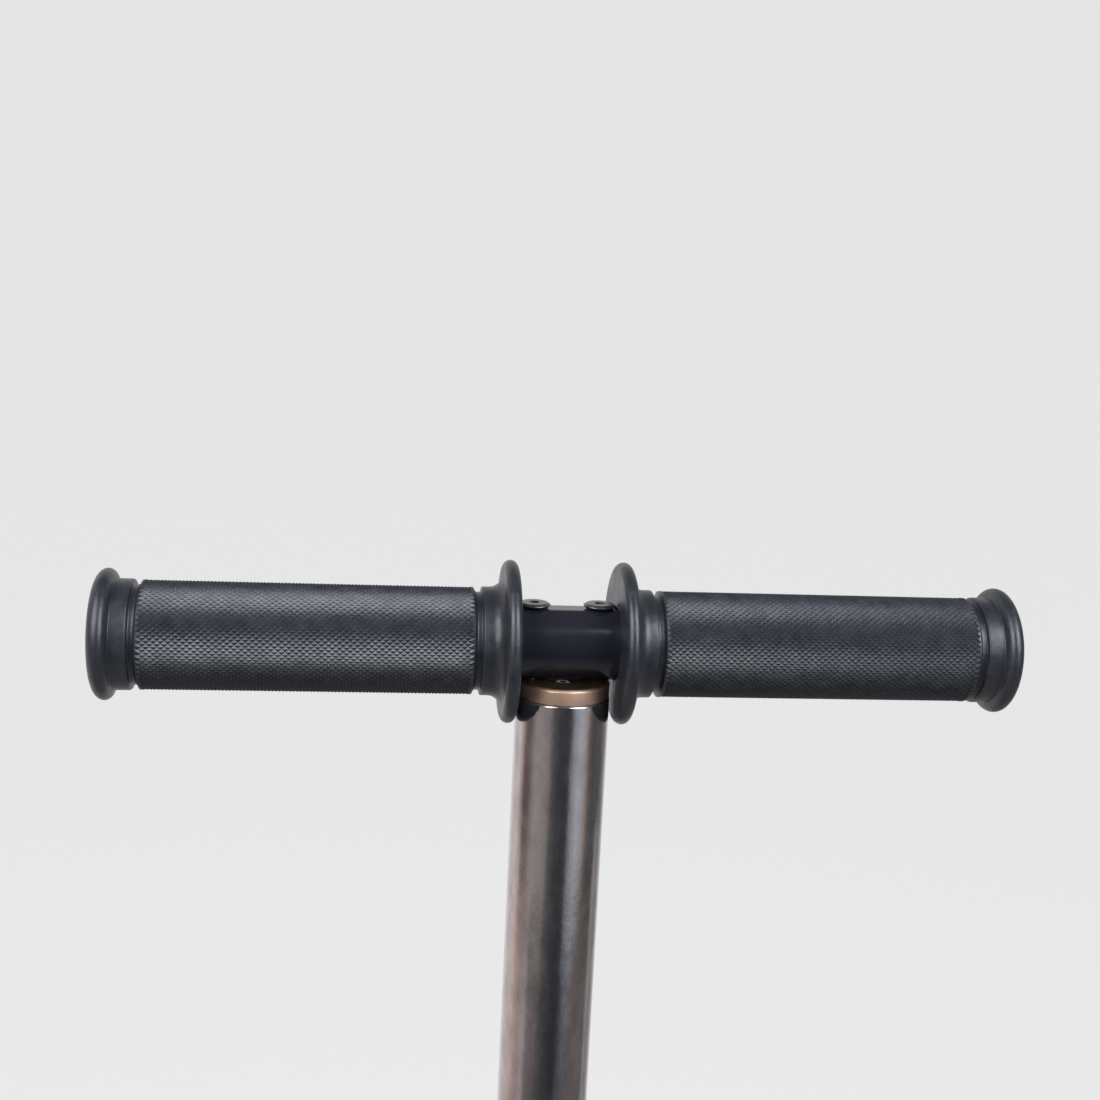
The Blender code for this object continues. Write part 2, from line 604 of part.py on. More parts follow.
def make_guides():
    bore = PLUNGER_RADIUS + GAP
    ring("guide_bushing", "nylon", PLUG_RADIUS, bore, BUSHING_Z, BUSHING_LENGTH)
    ring("topout_bumper", "black_rubber", PLUG_RADIUS, bore, BUMPER_Z, BUMPER_LENGTH)
    ring("wiper_seal", "black_rubber", bore + WIPER_WIDTH, bore, COLLAR_Z, WIPER_THICK)


# ---------------------------------------------------------------- footrests

def make_clamp_half(name, side):
    """One half of the clamp; side is -1 for the front half and 1 for the back half."""
    depth = CLAMP_HALF_DEPTH - CLAMP_SPLIT / 2
    middle = side * (CLAMP_HALF_DEPTH + CLAMP_SPLIT / 2) / 2
    half = box(name, (2 * CLAMP_HALF_WIDTH, depth, CLAMP_HEIGHT), (0, middle, PEG_Z))
    rounded(half, CLAMP_ROUNDING)
    drill(half, TUBE_RADIUS + GAP, 2 * CLAMP_HEIGHT, (0, 0, PEG_Z), (0, 0, 1), SIDES)
    drill(half, PEG_RADIUS + GAP, 4 * CLAMP_HALF_WIDTH, (0, 0, PEG_Z), (1, 0, 0), SIDES)
    for x, z in clamp_bolt_places():
        if side < 0:
            drill(half, CLAMP_BOLT_RADIUS + GAP, 4 * CLAMP_HALF_DEPTH, (x, 0, z), (0, 1, 0))
            mouth = (x, -CLAMP_HALF_DEPTH, z)
            drill(half, CLAMP_BOLT_HEAD_RADIUS + GAP, 2 * (CLAMP_BOLT_HEAD + GAP), mouth, (0, 1, 0))
        else:
            reach = 2 * (CLAMP_BOLT_BITE + CLAMP_SPLIT + GAP)
            drill(half, CLAMP_BOLT_RADIUS + GAP, reach, (x, 0, z), (0, 1, 0))
    return finish(half, name, "black_enamel")


def clamp_bolt_places():
    for x in (-CLAMP_BOLT_X, CLAMP_BOLT_X):
        for rise in (-CLAMP_BOLT_RISE, CLAMP_BOLT_RISE):
            yield x, PEG_Z + rise


def make_footrests():
    make_clamp_half("footrest_clamp_front", -1)
    make_clamp_half("footrest_clamp_back", 1)
    seat_y = CLAMP_BOLT_HEAD - CLAMP_HALF_DEPTH
    for index, (x, z) in enumerate(clamp_bolt_places()):
        name = "clamp_bolt_%d" % (index + 1)
        bolt = headed(name, "bright_steel", CLAMP_BOLT_HEAD_RADIUS, CLAMP_BOLT_HEAD,
                      CLAMP_BOLT_RADIUS, CLAMP_BOLT_BITE - seat_y, (x, seat_y, z), (90, 0, 0),
                      FINE_SIDES)
        drill(bolt, CLAMP_BOLT_HEAD_RADIUS / 2, CLAMP_BOLT_HEAD, (x, -CLAMP_HALF_DEPTH, z),
              (0, 1, 0), 6)
    for side, way in (("left", -1), ("right", 1)):
        middle = way * (PEG_INNER_X + PEG_OUTER_X) / 2
        peg = cylinder("peg", PEG_RADIUS, PEG_LENGTH, (middle, 0, PEG_Z), (1, 0, 0), SIDES)
        finish(peg, "footrest_peg_" + side, "bright_steel")
        make_tread("footrest_tread_" + side, way)


def make_tread(name, way):
    """Rubber tread on a peg: flat on top, with a raised lip at its outer end."""
    lip_x = TREAD_OUTER_X - TREAD_END_WALL
    top = TREAD_HALF_HEIGHT
    outline = [(way * x, z) for x, z in (
        (TREAD_INNER_X, -top), (TREAD_OUTER_X, -top), (TREAD_OUTER_X, top + TREAD_LIP_RISE),
        (lip_x, top + TREAD_LIP_RISE), (lip_x, top), (TREAD_INNER_X, top))]
    tread = outline_solid(name, outline, TREAD_HALF_WIDTH, (0, 0, PEG_Z), (90, 0, 0))
    rounded(tread, TREAD_ROUNDING)
    length = PEG_OUTER_X + GAP - TREAD_INNER_X + TREAD_END_WALL
    middle = PEG_OUTER_X + GAP - length / 2
    drill(tread, PEG_RADIUS + GAP, length, (way * middle, 0, PEG_Z), (1, 0, 0), SIDES)
    return finish(tread, name, "black_rubber")


# ---------------------------------------------------------------- the whole stick

materials = start_scene()
make_main_tube()
make_top_cap()
make_cap_plug()
make_handlebar()
make_grips()
make_spring_seat()
make_spring()
make_plunger()
make_bottom_collar()
make_guides()
make_footrests()
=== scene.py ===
# %% [markdown]
# # A spring pogo stick, piece by piece
#
# A pogo stick is a tube with a handlebar on top, two footrests near the bottom, and a plunger
# that slides into the tube against a long spring. The moving model was made before this
# script: it arrives as a fixed frame of plain, faceted solids. Here each solid that can be
# seen gets a finely made piece in the same place, and every piece gets a real finish.
#
# Lengths are in metres. The stick stands on its rubber tip at the origin, Z runs up the tube,
# and X runs along the handlebar.

# %% Load the frame
import json
import math

import bpy
from mathutils import Matrix, Vector


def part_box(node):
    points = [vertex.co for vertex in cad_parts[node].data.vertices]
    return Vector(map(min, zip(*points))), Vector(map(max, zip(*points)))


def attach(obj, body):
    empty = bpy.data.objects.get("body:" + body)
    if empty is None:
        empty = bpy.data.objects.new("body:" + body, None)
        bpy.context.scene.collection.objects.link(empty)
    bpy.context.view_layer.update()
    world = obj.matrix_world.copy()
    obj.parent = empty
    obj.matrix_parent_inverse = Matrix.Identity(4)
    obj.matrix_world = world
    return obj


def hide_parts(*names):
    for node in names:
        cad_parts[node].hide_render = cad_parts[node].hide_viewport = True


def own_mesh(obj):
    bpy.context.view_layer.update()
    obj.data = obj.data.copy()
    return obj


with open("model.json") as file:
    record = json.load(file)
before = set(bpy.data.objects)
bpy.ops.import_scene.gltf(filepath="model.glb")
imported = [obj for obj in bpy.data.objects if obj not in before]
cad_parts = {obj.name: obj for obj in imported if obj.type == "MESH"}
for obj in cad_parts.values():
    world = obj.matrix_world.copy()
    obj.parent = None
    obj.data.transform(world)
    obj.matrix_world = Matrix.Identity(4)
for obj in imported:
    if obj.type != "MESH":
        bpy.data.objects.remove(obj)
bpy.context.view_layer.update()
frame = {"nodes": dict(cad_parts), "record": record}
cad_nodes = frame["nodes"]

# %% [markdown]
# ## Reading places from the frame
#
# Nothing here is measured twice. A helper reads the box of a solid and answers in the words a
# fitter would use: its radius, its bottom and its top. If the model changes, the fine pieces
# follow it.

# %% Places on the stick
GAP = 0.0003


def span(node, axis):
    """Lowest and highest place of a solid along an axis, 0 for X, 1 for Y and 2 for Z."""
    low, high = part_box(node)
    return low[axis], high[axis]


def radius_of(node, axis=0):
    low, high = span(node, axis)
    return (high - low) / 2


tube_radius = radius_of("main_tube")
tube_bottom, tube_top = span("main_tube", 2)
cap_bottom, cap_top = span("top_cap", 2)
bar_radius = radius_of("handlebar", 1)
bar_z = cap_top + GAP + bar_radius
bar_end = span("handlebar", 0)[1]
grip_start, grip_end = span("grip_right", 0)
print("tube %.1f mm, bar %.1f mm at height %.4f" % (2000 * tube_radius, 2000 * bar_radius, bar_z))

# %% [markdown]
# ## Tools of the workshop
#
# Most of a pogo stick is turned on a lathe or moulded round. To make such a shape by hand, one
# point is extruded along an outline and the outline is spun round an axis. Sharp corners don't
# exist on real parts, so `soften` first swaps every corner of the outline for a small curve.

# %% Selection helpers
def deselect():
    if bpy.context.object and bpy.context.object.mode != "OBJECT":
        bpy.ops.object.mode_set(mode="OBJECT")
    bpy.ops.object.select_all(action="DESELECT")


def make_active(piece):
    deselect()
    piece.select_set(True)
    bpy.context.view_layer.objects.active = piece


def edit(piece, mode="VERT"):
    make_active(piece)
    bpy.ops.object.mode_set(mode="EDIT")
    bpy.ops.mesh.select_mode(type=mode)
    bpy.ops.mesh.select_all(action="DESELECT")
    bpy.ops.object.mode_set(mode="OBJECT")


def settle(piece, name, smooth_angle=30):
    """Name a piece, put its place into its mesh and shade its gentle edges smooth."""
    make_active(piece)
    bpy.ops.object.transform_apply(location=True, rotation=True, scale=True)
    bpy.ops.object.shade_smooth_by_angle(angle=math.radians(smooth_angle))
    piece.name = name
    piece.data.name = name
    return piece


# %% Outlines
def soften(points, radius, steps=4):
    """Swap each inner corner of an open (across, along) outline for a small curve."""
    points = [Vector(point) for point in points]
    soft = [points[0]]
    for before, corner, after in zip(points, points[1:], points[2:]):
        back, ahead = before - corner, after - corner
        reach = min(radius, back.length * 0.45, ahead.length * 0.45)
        start = corner + back.normalized() * reach
        end = corner + ahead.normalized() * reach
        for step in range(steps + 1):
            t = step / steps
            soft.append(start * (1 - t) ** 2 + corner * 2 * t * (1 - t) + end * t ** 2)
    soft.append(points[-1])
    return soft


def arc(centre, across, along, start, end, steps):
    """Points on an arc or oval, angles in degrees from the outward direction."""
    points = []
    for step in range(steps + 1):
        angle = math.radians(start + (end - start) * step / steps)
        out = centre[0] + across * math.cos(angle)
        points.append(Vector((out, centre[1] + along * math.sin(angle))))
    return points


# %% Drawing and spinning
MERGE = 0.000002


def draw_outline(points):
    """Extrude one point through a list of places, as when an outline is drawn by hand."""
    deselect()
    bpy.ops.mesh.primitive_plane_add(size=0.001, location=points[0])
    bpy.ops.object.mode_set(mode="EDIT")
    bpy.ops.mesh.select_mode(type="VERT")
    bpy.ops.mesh.merge(type="CENTER")
    for here, there in zip(points, points[1:]):
        step = {"value": tuple(Vector(there) - Vector(here))}
        bpy.ops.mesh.extrude_vertices_move(TRANSFORM_OT_translate=step)
    bpy.ops.object.mode_set(mode="OBJECT")
    return bpy.context.object


def spin(piece, centre, axis, steps):
    """Turn an outline into a closed skin round an axis."""
    make_active(piece)
    bpy.ops.object.transform_apply(location=True, rotation=True, scale=True)
    bpy.ops.object.mode_set(mode="EDIT")
    bpy.ops.mesh.select_all(action="SELECT")
    bpy.ops.mesh.spin(steps=steps, angle=math.tau, center=centre, axis=axis)
    bpy.ops.mesh.select_all(action="SELECT")
    bpy.ops.mesh.remove_doubles(threshold=MERGE)
    bpy.ops.mesh.normals_make_consistent(inside=False)
    bpy.ops.object.mode_set(mode="OBJECT")
    return piece


TURNING_AXES = {"X": ((0, 0, 1), (1, 0, 0)), "Y": ((1, 0, 0), (0, 1, 0)),
                "Z": ((1, 0, 0), (0, 0, 1))}


def turned(name, outline, steps=96, centre=(0, 0, 0), way="Z"):
    """A turned piece from a (radius, distance) outline along X, Y or Z through a centre."""
    base = Vector(centre)
    out, along = TURNING_AXES[way]
    places = [base + Vector(out) * point[0] + Vector(along) * point[1] for point in outline]
    piece = spin(draw_outline(places), base, along, steps)
    return settle(piece, name)


def sleeve(outer, inner, bottom, top, softness):
    """Closed outline of a sleeve, starting and ending in the middle of its bore."""
    middle = (bottom + top) / 2
    corners = [(inner, middle), (inner, top), (outer, top), (outer, bottom), (inner, bottom),
               (inner, middle)]
    return soften(corners, softness)


# %% [markdown]
# Holes are cut with Boolean modifiers that are applied at once, so each finished piece is one
# plain mesh. The cutter is removed after its cut.

# %% Cutting and joining
def cylinder(radius, length, centre, axis=(0, 0, 1), sides=64):
    deselect()
    turn = Vector((0, 0, 1)).rotation_difference(Vector(axis)).to_euler()
    bpy.ops.mesh.primitive_cylinder_add(vertices=sides, radius=radius, depth=length,
                                        location=centre, rotation=turn)
    piece = bpy.context.object
    bpy.ops.object.transform_apply(location=True, rotation=True, scale=True)
    return piece


def merge_shapes(piece, other, operation):
    """Cut with, join or keep what is common to another shape, which is then removed."""
    make_active(piece)
    boolean = piece.modifiers.new("shape", "BOOLEAN")
    boolean.operation = operation
    boolean.solver = "EXACT"
    boolean.object = other
    bpy.ops.object.modifier_apply(modifier=boolean.name)
    bpy.data.objects.remove(other, do_unlink=True)
    return piece


def drill(piece, radius, length, centre, axis=(0, 0, 1), sides=48):
    return merge_shapes(piece, cylinder(radius, length, centre, axis, sides), "DIFFERENCE")


def select_faces(piece, wanted):
    edit(piece, "FACE")
    for face in piece.data.polygons:
        face.select = wanted(face)


def select_edges(piece, wanted):
    edit(piece, "EDGE")
    points = piece.data.vertices
    for edge in piece.data.edges:
        ends = [points[index].co for index in edge.vertices]
        edge.select = wanted(*ends)


def bevel_selected(piece, width, segments=3):
    make_active(piece)
    bpy.ops.object.mode_set(mode="EDIT")
    bpy.ops.mesh.bevel(offset=width, segments=segments, affect="EDGES")
    bpy.ops.object.mode_set(mode="OBJECT")


# %% [markdown]
# ## Finishes
#
# Every finish is built from noise patterns that live in the piece's own coordinates, so it
# stays put when the piece moves. Most have three layers: a colour that drifts a little, a
# roughness that drifts with it, and a fine relief. The spring steel has no relief, and the
# nylon's roughness stays even.

# %% Material helpers
def start_material(name, colour, metallic, roughness):
    material = bpy.data.materials.new(name)
    material.use_nodes = True
    shader = material.node_tree.nodes["Principled BSDF"]
    shader.inputs["Base Color"].default_value = (*colour, 1)
    shader.inputs["Metallic"].default_value = metallic
    shader.inputs["Roughness"].default_value = roughness
    return material, shader


def add_node(material, kind, **values):
    """A node whose keyword arguments are its input sockets, with _ for a space."""
    node = material.node_tree.nodes.new(kind)
    for socket, value in values.items():
        node.inputs[socket.replace("_", " ")].default_value = value
    return node


def connect(material, source, target):
    material.node_tree.links.new(source, target)


def noise(material, stretch, scale, detail=4.0, roughness=0.6):
    """A noise pattern on Object coordinates, finer where stretch is larger."""
    place = add_node(material, "ShaderNodeTexCoord")
    mapping = add_node(material, "ShaderNodeMapping", Scale=stretch)
    pattern = add_node(material, "ShaderNodeTexNoise", Scale=scale, Detail=detail,
                       Roughness=roughness)
    connect(material, place.outputs["Object"], mapping.inputs["Vector"])
    connect(material, mapping.outputs["Vector"], pattern.inputs["Vector"])
    return pattern.outputs["Fac"]


def spread(material, value, low, high, start=0.3, end=0.7):
    """Map a pattern to numbers between low and high."""
    node = add_node(material, "ShaderNodeMapRange", From_Min=start, From_Max=end, To_Min=low,
                    To_Max=high)
    connect(material, value, node.inputs["Value"])
    return node.outputs["Result"]


def blend_colours(material, value, stops):
    """Map a pattern to colours; stops are (place, colour)."""
    ramp = material.node_tree.nodes.new("ShaderNodeValToRGB")
    bands = ramp.color_ramp.elements
    for index, (place, colour) in enumerate(stops):
        band = bands[index] if index < 2 else bands.new(place)
        band.position = place
        band.color = (*colour, 1)
    connect(material, value, ramp.inputs["Fac"])
    return ramp.outputs["Color"]


def relief(material, shader, value, strength, distance, under=None):
    bump = add_node(material, "ShaderNodeBump", Strength=strength, Distance=distance)
    connect(material, value, bump.inputs["Height"])
    if under is not None:
        connect(material, under, bump.inputs["Normal"])
    connect(material, bump.outputs["Normal"], shader.inputs["Normal"])
    return bump.outputs["Normal"]


# %% [markdown]
# ### Polished steel
#
# The tube is drawn steel, polished along and around by a belt. It mirrors the room almost
# cleanly, but old handling leaves faint clouds, and heat from polishing leaves warm, coppery
# patches. The clouds go into roughness, because a cloudy patch blurs what it mirrors.

# %% Steel for the tube
def polished_steel():
    material, shader = start_material("polished steel", (0.62, 0.59, 0.58), 1.0, 0.12)
    clouds = noise(material, (1, 1, 0.45), 210, 5, 0.62)
    streaks = noise(material, (1, 1, 0.03), 900, 3, 0.55)
    tint = blend_colours(material, clouds, [
        (0.34, (0.52, 0.495, 0.50)), (0.6, (0.66, 0.635, 0.63)), (0.74, (0.70, 0.63, 0.60))])
    connect(material, tint, shader.inputs["Base Color"])
    connect(material, spread(material, clouds, 0.06, 0.17, 0.35, 0.65), shader.inputs["Roughness"])
    lines = relief(material, shader, streaks, 0.025, 0.0004)
    relief(material, shader, noise(material, (1, 1, 0.6), 520, 5, 0.7), 0.07, 0.0006, lines)
    return material


# %% [markdown]
# ### Bronze, enamel, rubber and the rest
#
# The cap is anodised aluminium in a bronze colour, with the fine rings of the lathe. The bar
# wears gloss enamel with a little dust on it. Rubber is nearly black, slightly blue, and
# satin: its shine comes from the skin of the mould, which is uneven.

# %% The other finishes
def bronze_anodise():
    """Faces that look up are faced smooth; the sides keep the rough rings of the turning."""
    material, shader = start_material("bronze anodise", (0.64, 0.43, 0.33), 1.0, 0.5)
    rings = noise(material, (0.02, 0.02, 1), 3600, 2, 0.5)
    patches = noise(material, (1, 1, 0.5), 150, 3)
    tint = blend_colours(material, patches, [
        (0.3, (0.66, 0.44, 0.32)), (0.7, (0.74, 0.50, 0.37))])
    connect(material, tint, shader.inputs["Base Color"])
    facing = material.node_tree.nodes.new("ShaderNodeTexCoord")
    split = material.node_tree.nodes.new("ShaderNodeSeparateXYZ")
    connect(material, facing.outputs["Normal"], split.inputs[0])
    turning = spread(material, split.outputs["Z"], 0.5, 0.3, 0.3, 0.9)
    wear = material.node_tree.nodes.new("ShaderNodeMath")
    wear.operation = "ADD"
    connect(material, turning, wear.inputs[0])
    connect(material, spread(material, patches, -0.03, 0.03), wear.inputs[1])
    connect(material, wear.outputs[0], shader.inputs["Roughness"])
    relief(material, shader, rings, 0.05, 0.0003)
    return material


def gloss_enamel():
    material, shader = start_material("gloss black enamel", (0.012, 0.012, 0.017), 0.0, 0.16)
    shader.inputs["Specular IOR Level"].default_value = 0.35
    dust = noise(material, (1, 1, 1), 1900, 2, 0.5)
    tint = blend_colours(material, dust, [
        (0.68, (0.012, 0.012, 0.017)), (0.76, (0.022, 0.022, 0.026)), (0.84, (0.04, 0.04, 0.045))])
    connect(material, tint, shader.inputs["Base Color"])
    haze = noise(material, (1, 1, 1), 160, 3)
    connect(material, spread(material, haze, 0.13, 0.2), shader.inputs["Roughness"])
    relief(material, shader, noise(material, (1, 1, 1), 520, 2), 0.02, 0.0008)
    return material


def moulded_rubber():
    material, shader = start_material("moulded rubber", (0.016, 0.017, 0.021), 0.0, 0.36)
    skin = noise(material, (1, 1, 1), 230, 5, 0.6)
    tint = blend_colours(material, skin, [
        (0.3, (0.013, 0.014, 0.018)), (0.62, (0.018, 0.020, 0.025)), (0.8, (0.03, 0.032, 0.037))])
    connect(material, tint, shader.inputs["Base Color"])
    connect(material, spread(material, skin, 0.30, 0.46), shader.inputs["Roughness"])
    swell = relief(material, shader, noise(material, (1, 1, 1), 90, 3), 0.25, 0.0012)
    grain = noise(material, (1, 1, 1), 2600, 3)
    relief(material, shader, grain, 0.15, 0.0002, swell)
    return material


EVEN = (1, 1, 1)


def drifting_finish(name, colour, metallic, roughness, pattern, stops, shine=None, grain=None):
    """A finish whose colour, and where given its roughness, drift with one noise pattern."""
    material, shader = start_material(name, colour, metallic, roughness)
    drift = noise(material, *pattern)
    connect(material, blend_colours(material, drift, stops), shader.inputs["Base Color"])
    if shine:
        connect(material, spread(material, drift, *shine), shader.inputs["Roughness"])
    if grain:
        grain_pattern, strength, distance = grain
        relief(material, shader, noise(material, *grain_pattern), strength, distance)
    return material


dark_oxide = drifting_finish(
    "dark oxide", (0.12, 0.12, 0.13), 1.0, 0.34, (EVEN, 700, 4),
    [(0.35, (0.15, 0.15, 0.165)), (0.6, (0.20, 0.20, 0.21)), (0.8, (0.28, 0.275, 0.28))],
    (0.28, 0.45), ((EVEN, 3000, 2), 0.1, 0.0001))
bright_zinc = drifting_finish(
    "bright zinc", (0.62, 0.62, 0.60), 1.0, 0.28, (EVEN, 320, 5, 0.65),
    [(0.3, (0.54, 0.55, 0.56)), (0.55, (0.66, 0.66, 0.65)), (0.75, (0.68, 0.65, 0.56))],
    (0.2, 0.38), ((EVEN, 2200, 2), 0.06, 0.0001))
oiled_spring_steel = drifting_finish(
    "oiled spring steel", (0.16, 0.16, 0.17), 1.0, 0.3, (EVEN, 380, 4),
    [(0.3, (0.10, 0.10, 0.11)), (0.7, (0.22, 0.21, 0.20))], (0.18, 0.42))
natural_nylon = drifting_finish(
    "natural nylon", (0.74, 0.72, 0.66), 0.0, 0.45, (EVEN, 300, 3),
    [(0.3, (0.70, 0.68, 0.61)), (0.7, (0.78, 0.76, 0.70))],
    None, (((0.05, 0.05, 1), 3800, 2), 0.1, 0.0002))
powder_coat = drifting_finish(
    "black powder coat", (0.02, 0.02, 0.023), 0.0, 0.38, (EVEN, 1300, 3, 0.5),
    [(0.35, (0.016, 0.016, 0.019)), (0.7, (0.03, 0.03, 0.034))],
    (0.32, 0.46), ((EVEN, 1300, 3, 0.5), 0.25, 0.0002))
finishes = {
    "polished_steel": polished_steel(),
    "bronze": bronze_anodise(),
    "black_enamel": gloss_enamel(),
    "black_rubber": moulded_rubber(),
    "black_oxide": dark_oxide,
    "bright_steel": bright_zinc,
    "spring_steel": oiled_spring_steel,
    "nylon": natural_nylon,
    "powder_coat": powder_coat,
}
print(len(finishes), "finishes")


def place(piece, finish, body, *nodes, slot=None):
    """Give a piece its finish, hang it on its body, and let it stand for its plain solids."""
    piece.data.materials.clear()
    piece.data.materials.append(finishes[finish])
    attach(piece, body)
    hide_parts(*nodes)
    print(piece.name, len(piece.data.polygons), "faces")
    return piece


# %% [markdown]
# ## The main tube
#
# A length of steel tube with both ends faced and broken with a small polished chamfer. A bolt
# goes through it to hold the spring's upper seat.

# %% Main tube
TUBE_WALL = 0.0016
TUBE_CHAMFER = 0.0006
SEAM = 0.1
THROUGH_TUBE = 0.05

wall_middle = tube_bottom + SEAM
tube_outline = [(tube_radius - TUBE_WALL, wall_middle), (tube_radius - TUBE_WALL, tube_top),
                (tube_radius - TUBE_CHAMFER, tube_top), (tube_radius, tube_top - TUBE_CHAMFER),
                (tube_radius, tube_bottom + TUBE_CHAMFER),
                (tube_radius - TUBE_CHAMFER, tube_bottom), (tube_radius - TUBE_WALL, tube_bottom),
                (tube_radius - TUBE_WALL, wall_middle)]
tube = turned("polished_tube", soften(tube_outline, 0.0002, 2), 128)
seat_bolt_z = sum(span("seat_nut", 2)) / 2
seat_bolt_radius = 0.004
drill(tube, seat_bolt_radius + GAP, THROUGH_TUBE, (0, 0, seat_bolt_z), (0, 1, 0))
settle(tube, "polished_tube")
place(tube, "polished_steel", "frame", "main_tube")

# %% [markdown]
# ## The top cap
#
# The cap is turned from bar stock: a thin rim that covers the tube's end, a spigot that goes
# into the tube, and a round recess for the screw that swells the plug below it. Its top edge
# carries a bright chamfer.

# %% Top cap and its bolt
cap_radius = radius_of("top_cap")
RECESS_RADIUS = 0.0056
RECESS_DEPTH = 0.0026
CAP_CHAMFER = 0.0007
BORE_START = 0.004
spigot_radius = tube_radius - TUBE_WALL - GAP
bore = 0.0028
face = cap_top + 0.9 * GAP
shelf = cap_top - RECESS_DEPTH
rim_bottom = tube_top + 0.1 * GAP
cap_outline = [(bore, shelf - BORE_START), (bore, shelf), (RECESS_RADIUS, shelf),
               (RECESS_RADIUS, face), (cap_radius - CAP_CHAMFER, face),
               (cap_radius, face - CAP_CHAMFER), (cap_radius, rim_bottom),
               (spigot_radius, rim_bottom), (spigot_radius, cap_bottom), (bore, cap_bottom),
               (bore, shelf - BORE_START)]
cap = turned("bronze_cap", soften(cap_outline, 0.00018, 3), 128)
bar_screw_x = sum(span("handlebar_screw_right", 0)) / 2
bar_screw_radius = 0.002
place(cap, "bronze", "frame", "top_cap")


SOCKET_SHARE = 0.62


def socket_screw(name, head_radius, head, radius, length, dome, socket, axis, seat):
    """A screw with a round head, whose underside lies on its seat and whose shank goes back."""
    outline = [(0, -length), (radius, -length), (radius, 0), (head_radius, 0),
               (head_radius, head - dome), (head_radius - 1.6 * dome, head), (0, head)]
    screw = turned(name, soften(outline, 0.4 * dome, 4), 48)
    socket_depth = head * SOCKET_SHARE
    drill(screw, socket / math.sqrt(3), 2 * socket_depth, (0, 0, head), (0, 0, 1), 6)
    turn = Vector((0, 0, 1)).rotation_difference(Vector(axis)).to_matrix().to_4x4()
    screw.matrix_world = Matrix.Translation(Vector(seat)) @ turn
    return settle(screw, name)


CAP_BOLT_HEAD_RADIUS = 0.0036
CAP_BOLT_HEAD = 0.0014
CAP_BOLT_RADIUS = 0.0025
CAP_BOLT_DOME = 0.0011
CAP_BOLT_SOCKET = 0.002
bolt_low, bolt_high = span("cap_bolt", 2)
cap_bolt = socket_screw("cap_plug_bolt", CAP_BOLT_HEAD_RADIUS, CAP_BOLT_HEAD, CAP_BOLT_RADIUS,
                        bolt_high - bolt_low - CAP_BOLT_HEAD, CAP_BOLT_DOME, CAP_BOLT_SOCKET,
                        (0, 0, 1), (0, 0, bolt_high - CAP_BOLT_HEAD))
place(cap_bolt, "black_oxide", "frame", "cap_bolt")

# %% [markdown]
# ## The handlebar and its screws
#
# The bar is a short black tube. A narrow flat is milled along its top so that the two screws
# sit square. The screws pass through the bar into the cap. Their heads are low discs with a
# bevel above and below, and a hexagon socket.

# %% Handlebar
BAR_WALL = 0.0024
FLAT_DEPTH = 0.0005
FLAT_HALF_LENGTH = 0.0199
bar_outline = sleeve(bar_radius, bar_radius - BAR_WALL, -bar_end, bar_end, 0.0004)
bar = turned("black_bar", bar_outline, 128, (0, 0, bar_z), "X")
flat_z = bar_z + bar_radius - FLAT_DEPTH
deselect()
bpy.ops.mesh.primitive_cube_add(size=1, location=(0, 0, flat_z + bar_radius / 2))
mill = bpy.context.object
mill.scale = (2 * FLAT_HALF_LENGTH, 2 * bar_radius, bar_radius)
bpy.ops.object.transform_apply(location=True, rotation=True, scale=True)
merge_shapes(bar, mill, "DIFFERENCE")
for side in (-1, 1):
    drill(bar, bar_screw_radius + GAP, 4 * bar_radius, (side * bar_screw_x, 0, bar_z))
settle(bar, "black_bar", 20)
place(bar, "black_enamel", "frame", "handlebar")

# %% Bar screws
screw_low, screw_high = span("handlebar_screw_right", 2)
head_radius = radius_of("handlebar_screw_right")
HEAD_THICK = screw_high - flat_z - GAP
HEAD_UNDERCUT = 0.0007
HEAD_BEVEL = 0.0009
HEAD_SOCKET = 0.003
HEAD_SOCKET_DEPTH = 0.001


def bar_screw(name, x):
    """Low head with an undercut below its edge and a bevel above it, and a hex socket."""
    under = flat_z + GAP
    outline = [(0, screw_low), (bar_screw_radius, screw_low), (bar_screw_radius, under),
               (head_radius - HEAD_UNDERCUT, under), (head_radius, under + 0.45 * HEAD_THICK),
               (head_radius, under + 0.6 * HEAD_THICK), (head_radius - HEAD_BEVEL, screw_high),
               (0, screw_high)]
    screw = turned(name, soften(outline, 0.00015, 3), 72)
    drill(screw, HEAD_SOCKET / math.sqrt(3), 2 * HEAD_SOCKET_DEPTH, (0, 0, screw_high), sides=6)
    screw.matrix_world = Matrix.Translation((x, 0, 0))
    return settle(screw, name)


for side, x in (("left", -bar_screw_x), ("right", bar_screw_x)):
    place(bar_screw("bar_screw_" + side, x), "black_oxide", "frame", "handlebar_screw_" + side)

# %% [markdown]
# ## The rubber grips
#
# Each grip is one moulding: a big round flange that keeps the hand off the tube, a collar and
# a groove, the hand part with its diamond knurl, another groove and collar, and a bulb that
# closes the end.
#
# The knurl is real relief. The hand part is spun as a fine net of squares. If every second
# point of the net is pushed inwards, as on a chessboard, each square folds across its low
# corners, and the folds join up into rows of little pyramids.

# %% Grip outline
RUBBER_WALL = 0.005
hand_radius = bar_radius + RUBBER_WALL
flange_radius = radius_of("grip_right", 1)
FLANGE_THICK = 0.0043
FLANGE_FILLET = 0.004
COLLAR_WIDTH = 0.0023
GROOVE_WIDTH = 0.0026
GROOVE_DEPTH = 0.0014
GROOVE_SLOPE = 0.0007
COLLAR_RISE = 0.0002
BULB_RISE = 0.0032
OUTER_COLLAR_WIDTH = 0.005
BULB_INNER, BULB_OUTER = 0.0025, 0.0036
BULB_EDGE = 0.0056
BULB_CROWN = 0.0004
collar_radius = hand_radius + COLLAR_RISE
groove_radius = hand_radius - GROOVE_DEPTH
bulb_radius = hand_radius + BULB_RISE
KNURLS_ROUND = 59
KNURL_PITCH = 0.00205
KNURL_DEPTH = 0.00045

